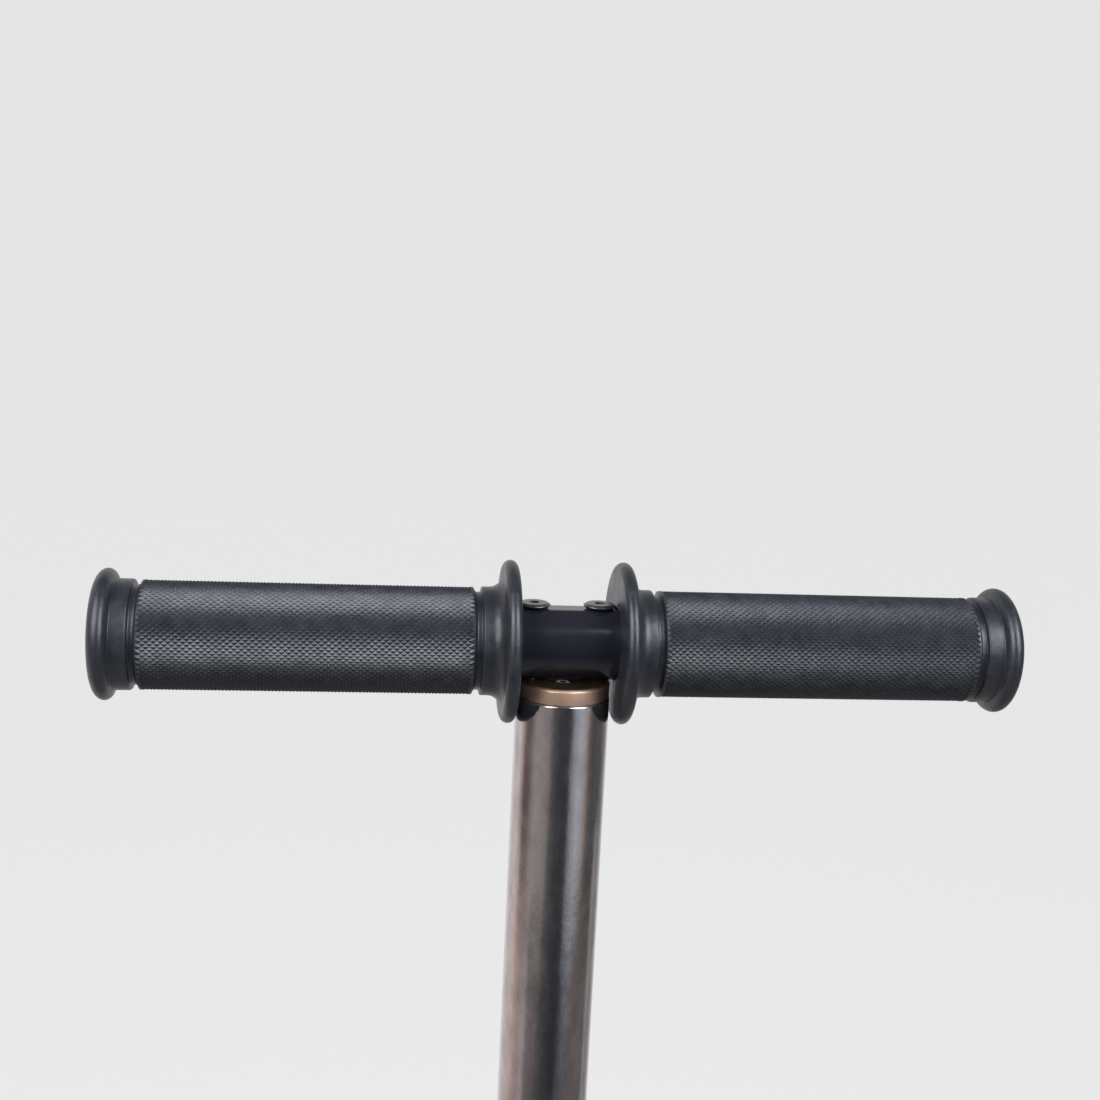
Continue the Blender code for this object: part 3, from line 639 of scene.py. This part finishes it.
rim = FLANGE_THICK / 2
flange_outer = grip_start + FLANGE_THICK
collar_end = flange_outer + FLANGE_FILLET + COLLAR_WIDTH
hand_start = collar_end + GROOVE_WIDTH
bulb_face = grip_end - BULB_CROWN
bulb_middle = bulb_face - BULB_OUTER
flare_start = bulb_middle - BULB_INNER
outer_collar = flare_start - OUTER_COLLAR_WIDTH
hand_end = outer_collar - GROOVE_WIDTH
hand_cells = 2 * round((hand_end - hand_start) / KNURL_PITCH)
hand_cell = (hand_end - hand_start) / hand_cells
print("hand part %.1f mm with %d by %d knurls" % (
    1000 * (hand_end - hand_start), hand_cells // 2, KNURLS_ROUND))


def grip_outline():
    """(radius, distance) from the bore's inner end, over the flange, to the closed end."""
    bore = bar_radius + GAP
    bore_end = bar_end + GAP
    flange = arc((flange_radius - rim, grip_start + rim), rim, rim, -90, 90, 12)
    fillet = arc((collar_radius + FLANGE_FILLET, flange_outer + FLANGE_FILLET),
                 FLANGE_FILLET, FLANGE_FILLET, -90, -180, 10)
    inner = [(0, bore_end), (bore, bore_end), (bore, grip_start)]
    inner = soften(inner, 0.0004)
    neck = [(collar_radius, flange_outer + FLANGE_FILLET), (collar_radius, collar_end),
            (groove_radius, collar_end + 0.0002), (groove_radius, hand_start - GROOVE_SLOPE),
            (hand_radius, hand_start)]
    hand = [Vector((hand_radius, hand_start + hand_cell * step))
            for step in range(hand_cells + 1)]
    tail = [(hand_radius, hand_end), (groove_radius, hand_end + GROOVE_SLOPE),
            (groove_radius, outer_collar - 0.0002), (collar_radius, outer_collar),
            (collar_radius, flare_start - 0.0002)]
    bead = bulb_radius - collar_radius
    bulb = (arc((collar_radius, bulb_middle), bead, BULB_INNER, -90, 0, 8)
            + arc((bulb_radius - BULB_EDGE, bulb_middle), BULB_EDGE, BULB_OUTER, 0, 90, 10)[1:])
    crown = arc((0, bulb_face), bulb_radius - BULB_EDGE, BULB_CROWN, 0, 90, 5)[1:]
    return (inner + flange + list(fillet[:-1]) + soften(neck, 0.0004)[:-1] + hand
            + soften(tail + [bulb[1]], 0.0005)[1:-1] + bulb[1:] + crown)


# %% Grip mould
def grip(name, side):
    outline = [(radius, side * distance) for radius, distance in grip_outline()]
    piece = turned(name, outline, 2 * KNURLS_ROUND, (0, 0, bar_z), "X")
    edit(piece)
    step = math.pi / KNURLS_ROUND
    for point in piece.data.vertices:
        distance = side * point.co.x
        cell = (distance - hand_start) / hand_cell
        around = math.atan2(point.co.y, point.co.z - bar_z) / step
        inside = 0.5 < cell < hand_cells - 0.5
        across = math.hypot(point.co.y, point.co.z - bar_z)
        point.select = (inside and abs(across - hand_radius) < 0.0001
                        and (round(cell) + round(around)) % 2 == 1)
    make_active(piece)
    bpy.ops.object.mode_set(mode="EDIT")
    shrink = 1 - KNURL_DEPTH / hand_radius
    bpy.ops.transform.resize(value=(1, shrink, shrink), center_override=(0, 0, bar_z))
    bpy.ops.object.mode_set(mode="OBJECT")
    select_faces(piece, lambda face: hand_start < side * face.center.x < hand_end
                 and math.hypot(face.center.y, face.center.z - bar_z) > hand_radius - KNURL_DEPTH)
    bpy.ops.object.mode_set(mode="EDIT")
    bpy.ops.mesh.quads_convert_to_tris(quad_method="SHORTEST_DIAGONAL")
    bpy.ops.object.mode_set(mode="OBJECT")
    return settle(piece, name, 30)


for side, sign in (("left", -1), ("right", 1)):
    place(grip("rubber_grip_" + side, sign), "black_rubber", "frame", "grip_" + side)

# %% [markdown]
# ## The spring's upper seat
#
# A hexagon bolt goes through the tube and the steel seat inside it. Its head, its nut and two
# washers are what shows. A hexagon's corners are chamfered by keeping only what it shares with
# a turned blank.

# %% Seat bolt, nut and washers
HEX_CORNER = 0.12
SHANK_OVERLAP = 0.001


def hexagon(name, radius, low, high, hole, z):
    """A hexagon along Y between two places, with chamfered corners and a round hole."""
    middle, length = (low + high) / 2, high - low
    blank = cylinder(radius, length, (0, middle, z), (0, 1, 0), 6)
    corner = radius * HEX_CORNER
    outline = [(0, low), (radius - corner, low), (radius, low + corner * 0.6),
               (radius, high - corner * 0.6), (radius - corner, high), (0, high)]
    round_blank = turned("blank", soften(outline, 0.0002, 2), 64, (0, 0, z), "Y")
    merge_shapes(blank, round_blank, "INTERSECT")
    if hole:
        drill(blank, hole, 4 * length, (0, middle, z), (0, 1, 0))
    return settle(blank, name)


head_front = span("seat_bolt", 1)[0]
washer_front = span("seat_washer_front", 1)
washer_back = span("seat_washer_back", 1)
nut_low, nut_high = span("seat_nut", 1)
hex_radius = radius_of("seat_nut", 2)
head_back = washer_front[0] - GAP
bolt_head = hexagon("spring_seat_bolt", hex_radius, head_front, head_back, 0, seat_bolt_z)
bolt_end = span("seat_bolt", 1)[1]
shank_start = head_back - SHANK_OVERLAP
shank = cylinder(seat_bolt_radius, bolt_end - shank_start,
                 (0, (bolt_end + shank_start) / 2, seat_bolt_z), (0, 1, 0))
merge_shapes(bolt_head, shank, "UNION")
settle(bolt_head, "spring_seat_bolt")
place(bolt_head, "bright_steel", "frame", "seat_bolt")
nut = hexagon("spring_seat_nut", hex_radius, nut_low, nut_high, seat_bolt_radius + GAP, seat_bolt_z)
place(nut, "bright_steel", "frame", "seat_nut")
washer_radius = radius_of("seat_washer_front", 2)
for side, (low, high) in (("front", washer_front), ("back", washer_back)):
    outline = sleeve(washer_radius, seat_bolt_radius + GAP, low, high, 0.00025)
    washer = turned("spring_seat_washer_" + side, outline, 64, (0, 0, seat_bolt_z), "Y")
    place(washer, "bright_steel", "frame", "seat_washer_" + side)

# %% [markdown]
# ## The main spring
#
# The spring is drawn as a curve that climbs as it turns, with close turns at both ends where
# it sits on its seats. It is made a mesh, with mesh data of its own.

# %% Main spring
SPRING_COILS = 30
CLOSED_COILS = 1.25
WIRE = 0.0045
CLOSED_PITCH = WIRE + 0.0004
STEPS_PER_COIL = 28
spring_low, spring_high = span("main_spring", 2)
spring_radius = radius_of("main_spring")


def climb(turns):
    """Height of the wire above the first turn."""
    free_turns = SPRING_COILS - 2 * CLOSED_COILS
    run = spring_high - spring_low - WIRE - 2 * CLOSED_COILS * CLOSED_PITCH
    closed = min(turns, CLOSED_COILS) + max(turns - CLOSED_COILS - free_turns, 0)
    return closed * CLOSED_PITCH + min(max(turns - CLOSED_COILS, 0), free_turns) * run / free_turns


def coil_spring():
    curve = bpy.data.curves.new("coil", "CURVE")
    curve.dimensions = "3D"
    curve.bevel_depth = WIRE / 2
    curve.bevel_resolution = 3
    curve.use_fill_caps = True
    line = curve.splines.new("POLY")
    line.points.add(SPRING_COILS * STEPS_PER_COIL)
    for index, point in enumerate(line.points):
        turns = index / STEPS_PER_COIL
        reach = spring_radius - WIRE / 2
        point.co = (reach * math.cos(math.tau * turns), reach * math.sin(math.tau * turns),
                    spring_low + WIRE / 2 + climb(turns), 1)
    guide = bpy.data.objects.new("coil", curve)
    bpy.context.scene.collection.objects.link(guide)
    make_active(guide)
    bpy.ops.object.convert(target="MESH")
    piece = bpy.context.object
    bpy.ops.object.mode_set(mode="EDIT")
    bpy.ops.mesh.select_all(action="SELECT")
    bpy.ops.mesh.remove_doubles(threshold=MERGE)
    bpy.ops.mesh.normals_make_consistent(inside=False)
    bpy.ops.object.mode_set(mode="OBJECT")
    return settle(piece, "coil_spring", 50)


spring = place(coil_spring(), "spring_steel", "frame", "main_spring")
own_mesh(spring)

# %% [markdown]
# ## The plunger
#
# The plunger is a plated tube that runs in the guide bushing. A rubber ring above the tip
# softens the end of the stroke, and the tip spreads into a wide ribbed foot.

# %% Plunger tube and bump stop
plunger_radius = radius_of("plunger_tube")
plunger_low, plunger_high = span("plunger_tube", 2)
PLUNGER_WALL = 0.002
PIN_HOLE = 0.0028
outline = sleeve(plunger_radius, plunger_radius - PLUNGER_WALL, plunger_low, plunger_high, 0.0004)
plunger = turned("plated_plunger", outline, 96)
pin_z = sum(span("head_pin", 2)) / 2
drill(plunger, PIN_HOLE, 4 * plunger_radius, (0, 0, pin_z), (1, 0, 0))
settle(plunger, "plated_plunger")
place(plunger, "bright_steel", "plunger", "plunger_tube")

stop_low, stop_high = span("bump_stop", 2)
stop_radius = radius_of("bump_stop")
STOP_NECK = 0.0012
waist = stop_radius - STOP_NECK
stop_middle = (stop_low + stop_high) / 2
stop_bore = plunger_radius + GAP
stop_outline = [(stop_bore, stop_middle), (stop_bore, stop_high), (stop_radius, stop_high),
                (stop_radius, stop_middle + STOP_NECK), (waist, stop_middle),
                (stop_radius, stop_middle - STOP_NECK), (stop_radius, stop_low),
                (stop_bore, stop_low), (stop_bore, stop_middle)]
bumper = turned("stroke_bumper", soften(stop_outline, 0.001), 96)
place(bumper, "black_rubber", "plunger", "bump_stop")

# %% Rubber tip
tip_radius = radius_of("rubber_tip")
tip_top = span("rubber_tip", 2)[1]
SOLE_THICK = 0.011
WAIST_RADIUS = plunger_radius + 0.0047
RIB_COUNT = 3
RIB_RISE = 0.0011
RIB_START = 0.0305
RIB_PITCH = 0.0045
SOLE_RINGS = (0.008, 0.0145)
RING_GROOVE = 0.0012


def tip_outline():
    """Sole with two ring grooves, flared foot, ribbed neck and a blind bore."""
    bore = plunger_radius + GAP
    groove = RING_GROOVE
    sole = [(0, 0)]
    for ring in SOLE_RINGS:
        sole += [(ring - groove, 0), (ring - groove / 2, groove), (ring + groove / 2, groove),
                 (ring + groove, 0)]
    foot = [(tip_radius - 0.003, 0), (tip_radius, 0.0025), (tip_radius, 0.0125),
            (WAIST_RADIUS + 0.0022, 0.0235), (WAIST_RADIUS, 0.029)]
    ribs = []
    for index in range(RIB_COUNT):
        low = RIB_START + index * RIB_PITCH
        ribs += [(WAIST_RADIUS, low), (WAIST_RADIUS + RIB_RISE, low + 0.0008),
                 (WAIST_RADIUS + RIB_RISE, low + 0.0022), (WAIST_RADIUS, low + 0.003)]
    mouth = [(WAIST_RADIUS, tip_top), (bore, tip_top), (bore, SOLE_THICK), (0, SOLE_THICK)]
    return soften(sole + foot + ribs + mouth, 0.0009, 4)


place(turned("ribbed_tip", tip_outline(), 96), "black_rubber", "plunger", "rubber_tip")

# %% [markdown]
# ## The bottom collar
#
# The collar is turned from the same bronze-coloured stock as the cap. It closes the tube's
# lower end, holds the bushing and the wiper seal, and is fixed by three small set screws.

# %% Bottom collar
collar_low, collar_high = span("bottom_collar", 2)
outer = radius_of("bottom_collar", 0)
LIP = 0.006
WIPER = 0.0033
BAND_GROOVE = 0.0006
SET_SCREW_DEPTH = 0.0042
SET_SCREW_SOCKET = 0.0022
lip_top = collar_low + LIP
sleeve_bore = tube_radius + GAP
plunger_bore = plunger_radius + 2 * GAP
seal_bore = plunger_radius + 0.0028
band = collar_high - 0.0035
collar_outline = [(sleeve_bore, (lip_top + collar_high) / 2), (sleeve_bore, collar_high),
                  (outer - 0.0012, collar_high), (outer, collar_high - 0.0012),
                  (outer, band), (outer - BAND_GROOVE, band - 0.0004),
                  (outer - BAND_GROOVE, band - 0.0012), (outer, band - 0.0016),
                  (outer, collar_low + 0.002), (outer - 0.002, collar_low),
                  (seal_bore, collar_low), (seal_bore, collar_low + WIPER),
                  (plunger_bore, collar_low + WIPER), (plunger_bore, lip_top),
                  (sleeve_bore, lip_top), (sleeve_bore, (lip_top + collar_high) / 2)]
collar = turned("bronze_collar", soften(collar_outline, 0.0003, 3), 128)
set_screw_z = sum(span("collar_screw_1", 2)) / 2
set_screw_radius = radius_of("collar_screw_1", 2)
for index in range(3):
    node = "collar_screw_%d" % (index + 1)
    low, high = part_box(node)
    middle = (low + high) / 2
    way = Vector((middle.x, middle.y, 0)).normalized()
    reach = outer - GAP / 2
    back = reach - SET_SCREW_DEPTH
    drill(collar, set_screw_radius + GAP, 0.008, way * outer + Vector((0, 0, set_screw_z)), way)
    shape = [(0, back), (set_screw_radius, back), (set_screw_radius, reach), (0, reach)]
    screw = turned("set_screw_%d" % (index + 1), soften(shape, 0.0003, 3), 48)
    drill(screw, SET_SCREW_SOCKET / math.sqrt(3), 0.003, (0, 0, reach), sides=6)
    turn = Vector((0, 0, 1)).rotation_difference(way).to_matrix().to_4x4()
    screw.matrix_world = Matrix.Translation((0, 0, set_screw_z)) @ turn
    settle(screw, screw.name)
    place(screw, "black_oxide", "frame", node)
settle(collar, "bronze_collar")
place(collar, "bronze", "frame", "bottom_collar")

# %% [markdown]
# ## The footrests
#
# Two cast halves clamp the tube and the steel pegs between them, pulled together by four
# socket-head bolts. The plain halves already have every hole in the right place, so each fine
# half starts as a copy of one: its triangles are joined into flat faces again, and a Bevel
# modifier rounds the edges as a casting's are. A rubber tread goes over each peg. Its top is
# cut into blocks that hold the shoe, and a lip at the outer end keeps the foot on.

# %% Clamp halves
peg_z = sum(span("footrest_peg_right", 2)) / 2
peg_radius = radius_of("footrest_peg_right", 2)
CASTING_ROUND = 0.0009
PLAIN_MERGE = 0.000005
CLAMP_BOLT_HEAD = 0.006
CLAMP_BOLT_RADIUS = 0.003
CLAMP_BOLT_DOME = 0.0006
CLAMP_BOLT_SOCKET = 0.005


def clamp_half(name, node):
    """A fair copy of the plain half: its triangles joined to faces, its edges rounded."""
    half = bpy.data.objects.new(name, cad_nodes[node].data.copy())
    bpy.context.scene.collection.objects.link(half)
    make_active(half)
    bpy.ops.object.mode_set(mode="EDIT")
    bpy.ops.mesh.select_all(action="SELECT")
    bpy.ops.mesh.remove_doubles(threshold=PLAIN_MERGE)
    bpy.ops.mesh.dissolve_limited(angle_limit=math.radians(2))
    bpy.ops.object.mode_set(mode="OBJECT")
    rounding = half.modifiers.new("rounding", "BEVEL")
    rounding.width = CASTING_ROUND
    rounding.segments = 3
    rounding.limit_method = "ANGLE"
    rounding.angle_limit = math.radians(40)
    bpy.ops.object.modifier_apply(modifier=rounding.name)
    return settle(half, name, 40)


for side in ("front", "back"):
    half = clamp_half("clamp_casting_" + side, "footrest_clamp_" + side)
    place(half, "powder_coat", "frame", "footrest_clamp_" + side, slot="black_enamel")

for index in range(4):
    node = "clamp_bolt_%d" % (index + 1)
    low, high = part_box(node)
    seat = ((low.x + high.x) / 2, low.y + CLAMP_BOLT_HEAD, (low.z + high.z) / 2)
    bolt = socket_screw("socket_bolt_%d" % (index + 1), (high.x - low.x) / 2, CLAMP_BOLT_HEAD,
                        CLAMP_BOLT_RADIUS, high.y - low.y - CLAMP_BOLT_HEAD, CLAMP_BOLT_DOME,
                        CLAMP_BOLT_SOCKET, (0, -1, 0), seat)
    place(bolt, "bright_steel", "frame", node)

# %% Pegs
for side, sign in (("left", -1), ("right", 1)):
    low, high = span("footrest_peg_" + side, 0)
    outline = [(0, low), (peg_radius, low), (peg_radius, high), (0, high)]
    peg = turned("foot_peg_" + side, soften(outline, 0.0008, 3), 64, (0, 0, peg_z), "X")
    place(peg, "bright_steel", "frame", "footrest_peg_" + side)

# %% Rubber treads
BLOCK_ROWS = 4
BLOCK_COLUMNS = 11
BLOCK_RISE = 0.0011
TREAD_LIP = 0.007
TREAD_ROUND = 0.003
TREAD_BORE = 0.1796


def tread(name, node, sign):
    low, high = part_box(node)
    top = 2 * peg_z - low.z
    lip_x = high.x - TREAD_LIP if sign > 0 else low.x + TREAD_LIP
    inner = low.x if sign > 0 else high.x
    floor_z = top - BLOCK_RISE
    deselect()
    bpy.ops.mesh.primitive_cube_add(size=1, location=(0, 0, 0))
    piece = bpy.context.object
    start, end = min(inner, lip_x), max(inner, lip_x)
    piece.scale = (end - start, high.y - low.y, floor_z - low.z)
    piece.location = ((start + end) / 2, 0, (floor_z + low.z) / 2)
    bpy.ops.object.transform_apply(location=True, rotation=True, scale=True)
    select_faces(piece, lambda face: sign * face.normal.x > 0.9)
    bpy.ops.object.mode_set(mode="EDIT")
    bpy.ops.mesh.extrude_region_move(TRANSFORM_OT_translate={"value": (sign * TREAD_LIP, 0, 0)})
    bpy.ops.object.mode_set(mode="OBJECT")
    select_faces(piece, lambda face: face.normal.z > 0.9
                 and sign * face.center.x > sign * lip_x)
    bpy.ops.object.mode_set(mode="EDIT")
    bpy.ops.mesh.extrude_region_move(TRANSFORM_OT_translate={"value": (0, 0, high.z - floor_z)})
    bpy.ops.object.mode_set(mode="OBJECT")

    def on_outline(a, b):
        on_side = abs(abs(a.y) - high.y) < GAP and abs(abs(b.y) - high.y) < GAP
        return on_side or abs(a.z - high.z) + abs(b.z - high.z) < GAP

    select_edges(piece, on_outline)
    bevel_selected(piece, TREAD_ROUND, 5)
    drill(piece, peg_radius + GAP, TREAD_BORE, (0, 0, peg_z), (1, 0, 0), 64)
    add_blocks(piece, start, end, high.y, floor_z)
    return settle(piece, name)


def add_blocks(piece, start, end, half_width, floor_z):
    """Raised blocks in rows on the tread's top, modelled once and copied."""
    pitch_x = (end - start - 0.004) / BLOCK_COLUMNS
    pitch_y = (2 * half_width - 0.008) / BLOCK_ROWS
    deselect()
    bpy.ops.mesh.primitive_cube_add(size=1)
    block = bpy.context.object
    block.scale = (pitch_x * 0.72, pitch_y * 0.74, 2 * BLOCK_RISE)
    bpy.ops.object.transform_apply(location=True, rotation=True, scale=True)
    select_edges(block, lambda a, b: a.z > 0 and b.z > 0 or abs(a.z - b.z) > GAP)
    bevel_selected(block, 0.0004, 2)
    copies = []
    for column in range(BLOCK_COLUMNS):
        for row in range(BLOCK_ROWS):
            copy = block.copy()
            copy.data = block.data.copy()
            copy.location = (start + 0.002 + pitch_x * (column + 0.5),
                             pitch_y * (row + 0.5 - BLOCK_ROWS / 2), floor_z)
            bpy.context.scene.collection.objects.link(copy)
            copies.append(copy)
    bpy.data.objects.remove(block, do_unlink=True)
    deselect()
    for copy in copies:
        copy.select_set(True)
    bpy.context.view_layer.objects.active = copies[0]
    bpy.ops.object.join()
    bpy.ops.object.transform_apply(location=True, rotation=True, scale=True)
    merge_shapes(piece, bpy.context.object, "UNION")


for side, sign in (("left", -1), ("right", 1)):
    piece = tread("rubber_tread_" + side, "footrest_tread_" + side, sign)
    place(piece, "black_rubber", "frame", "footrest_tread_" + side)

# %% [markdown]
# ## Finishes for the hidden solids
#
# What stays inside the tube keeps its plain solid, because its shape is right, and only takes
# a finish: the plug, the seats, the bushing, the bumper, the plunger's head and its ring.

# %% Hidden solids
slot_of = {part["node"]: part["material_slot"] for part in frame["record"]["subparts"]}
for name, solid in cad_nodes.items():
    if not solid.hide_render:
        solid.data.materials.clear()
        solid.data.materials.append(finishes[slot_of[name]])
        print("kept", name, "in", slot_of[name])

# %% [markdown]
# ## The studio
#
# A polished tube is only as good as what it mirrors. The studio is a sky of soft panels: pale
# behind the stick, warm to the left of the camera, cooler to the right, with dark gaps between
# them. The panels change on the way down, so three rows of them fade into each other, and
# there is a dim ceiling above. The camera itself sees only a plain pale backdrop and floor.

# %% Studio sky
PALE = 0.78


def studio_ramp(tree, value, row):
    """The panels of one row, 1 to 3, as a colour ramp over the azimuth in degrees."""
    ramp = tree.nodes.new("ShaderNodeValToRGB")
    bands = ramp.color_ramp.elements
    for index, panel in enumerate(PANELS):
        azimuth, level, tint = panel[0], panel[row], panel[4]
        position = (azimuth + 180) / 360
        band = bands[index] if index < 2 else bands.new(position)
        band.position = position
        band.color = (level * tint[0], level * tint[1], level * tint[2], 1)
    tree.links.new(value, ramp.inputs["Fac"])
    return ramp.outputs["Color"]


def math_node(tree, operation, first, second=None):
    node = tree.nodes.new("ShaderNodeMath")
    node.operation = operation
    for socket, value in zip(node.inputs, (first, second)):
        if isinstance(value, (int, float)):
            socket.default_value = value
        elif value is not None:
            tree.links.new(value, socket)
    return node.outputs[0]


def mix_colours(tree, factor, first, second):
    node = tree.nodes.new("ShaderNodeMix")
    node.data_type = "RGBA"
    tree.links.new(factor, node.inputs["Factor"])
    for socket, value in ((node.inputs[6], first), (node.inputs[7], second)):
        if isinstance(value, tuple):
            socket.default_value = value
        else:
            tree.links.new(value, socket)
    return node.outputs[2]


WARM = (1.0, 0.91, 0.90)
COPPER = (1.0, 0.79, 0.75)
COOL = (0.93, 0.97, 1.10)
PLAIN = (1.0, 0.99, 1.0)

# azimuth in degrees, brightness of the upper, middle and lower row, tint
PANELS = [
    (-180, 0.90, 0.90, 0.90, PLAIN), (-150, 0.82, 0.82, 0.82, PLAIN),
    (-138, 0.66, 0.70, 0.70, WARM), (-120, 0.78, 0.75, 0.66, WARM),
    (-107, 0.50, 0.72, 0.68, COPPER), (-97, 0.17, 0.38, 0.58, COPPER),
    (-84, 0.17, 0.38, 0.42, COPPER), (-66, 0.38, 0.30, 0.45, WARM),
    (-56, 0.36, 0.19, 0.21, WARM), (-32, 0.30, 0.18, 0.13, WARM),
    (-24, 0.13, 0.10, 0.08, PLAIN), (-8, 0.07, 0.055, 0.055, COOL),
    (10, 0.055, 0.04, 0.04, COOL), (18, 0.09, 0.05, 0.055, COOL),
    (26, 0.34, 0.12, 0.10, COOL), (42, 0.55, 0.19, 0.14, COOL),
    (58, 0.42, 0.16, 0.17, WARM), (70, 0.17, 0.16, 0.18, COPPER),
    (82, 0.10, 0.10, 0.16, PLAIN), (98, 0.11, 0.09, 0.15, PLAIN),
    (107, 0.10, 0.36, 0.36, WARM), (124, 0.21, 0.23, 0.26, PLAIN),
    (148, 0.68, 0.68, 0.68, PLAIN), (180, 0.90, 0.90, 0.90, PLAIN)]


def fade(tree, up, start, end, first, second):
    """Turn from one colour to another between two heights, in degrees from the horizon."""
    turn = tree.nodes.new("ShaderNodeMapRange")
    turn.inputs["From Min"].default_value = math.sin(math.radians(start))
    turn.inputs["From Max"].default_value = math.sin(math.radians(end))
    tree.links.new(up, turn.inputs["Value"])
    return mix_colours(tree, turn.outputs["Result"], first, second)


def build_sky():
    world = bpy.data.worlds.new("studio")
    bpy.context.scene.world = world
    world.use_nodes = True
    tree = world.node_tree
    ground = tree.nodes["Background"]
    direction = tree.nodes.new("ShaderNodeTexCoord").outputs["Generated"]
    split = tree.nodes.new("ShaderNodeSeparateXYZ")
    tree.links.new(direction, split.inputs[0])
    east, north, up = split.outputs
    azimuth = math_node(tree, "ARCTAN2", east, math_node(tree, "MULTIPLY", north, -1))
    share = math_node(tree, "ADD", math_node(tree, "DIVIDE", azimuth, math.tau), 0.5)
    ceiling, ground_glow = (0.16, 0.16, 0.17, 1), (0.42, 0.41, 0.42, 1)
    walls = studio_ramp(tree, share, 1)
    walls = fade(tree, up, -14.8, -17, walls, studio_ramp(tree, share, 2))
    walls = fade(tree, up, -17.5, -21, walls, studio_ramp(tree, share, 3))
    room = fade(tree, up, 25, 50, walls, ceiling)
    room = fade(tree, up, -35, -60, room, ground_glow)
    camera_sees = tree.nodes.new("ShaderNodeLightPath").outputs["Is Camera Ray"]
    seen = mix_colours(tree, camera_sees, room, (PALE, PALE, PALE, 1))
    tree.links.new(seen, ground.inputs["Color"])
    return world


build_sky()

# %% Floor
FLOOR_HALF = 30.0
FLOOR_TONE = 0.1
FLOOR_GLOW = 0.765


def build_floor():
    deselect()
    bpy.ops.mesh.primitive_plane_add(size=2 * FLOOR_HALF, location=(0, 0, 0))
    floor = settle(bpy.context.object, "studio_floor")
    material, shader = start_material("pale floor", (FLOOR_TONE,) * 3, 0.0, 1.0)
    shader.inputs["Specular IOR Level"].default_value = 0.0
    shader.inputs["Emission Color"].default_value = (1, 1, 1, 1)
    shader.inputs["Emission Strength"].default_value = FLOOR_GLOW
    floor.data.materials.append(material)
    floor.visible_glossy = False
    floor.visible_diffuse = False
    floor.visible_shadow = False
    return floor


build_floor()

# %% [markdown]
# Two tall softboxes stand in front, one on each side of the camera, and leave a dark gap
# between them. Round rubber takes its long soft highlights from them. They hang above the
# handle's height, so that the tube, which the camera sees from above, mirrors the room under
# them and not the lamps themselves.

# %% Softboxes
def softbox(name, azimuth, distance, rise, width, height, radiance, tint):
    """A panel that faces the handle; radiance is how bright its face looks."""
    data = bpy.data.lights.new(name, "AREA")
    data.shape = "RECTANGLE"
    data.size = width
    data.size_y = height
    data.color = tint
    data.energy = radiance * math.pi * width * height
    lamp = bpy.data.objects.new(name, data)
    bpy.context.scene.collection.objects.link(lamp)
    angle = math.radians(azimuth)
    target = Vector((0, 0, cap_top))
    spot = target + Vector((distance * math.sin(angle), -distance * math.cos(angle), rise))
    lamp.matrix_world = (Matrix.Translation(spot)
                         @ (spot - target).to_track_quat("Z", "Y").to_matrix().to_4x4())
    lamp.visible_camera = False
    return lamp


DAYLIGHT = (0.88, 0.94, 1.0)
softbox("softbox_right", 44, 1.3, 0.85, 1.0, 1.2, 9.0, DAYLIGHT)
softbox("softbox_left", -52, 1.3, 0.85, 1.1, 1.2, 8.0, DAYLIGHT)

# %% [markdown]
# ## The camera
#
# The camera stands close in front of the handle, a little to its left and above it, looking
# slightly down, and it is tilted a few degrees.

# %% Camera
YAW, PITCH, ROLL = 0.1218, 0.1887, 0.0487
CAMERA_PLACE = (-0.0599, -0.4406, cap_top + 0.1244)
camera_data = bpy.data.cameras.new("camera")
camera = bpy.data.objects.new("camera", camera_data)
bpy.context.scene.collection.objects.link(camera)
camera_data.sensor_width = 36
camera_data.lens = 49.6
camera_data.clip_start = 0.01
turn = (Matrix.Rotation(-YAW, 4, "Z") @ Matrix.Rotation(math.pi / 2 - PITCH, 4, "X")
        @ Matrix.Rotation(ROLL, 4, "Z"))
camera.matrix_world = Matrix.Translation(CAMERA_PLACE) @ turn
bpy.context.scene.camera = camera
bpy.context.scene.view_settings.view_transform = "Standard"
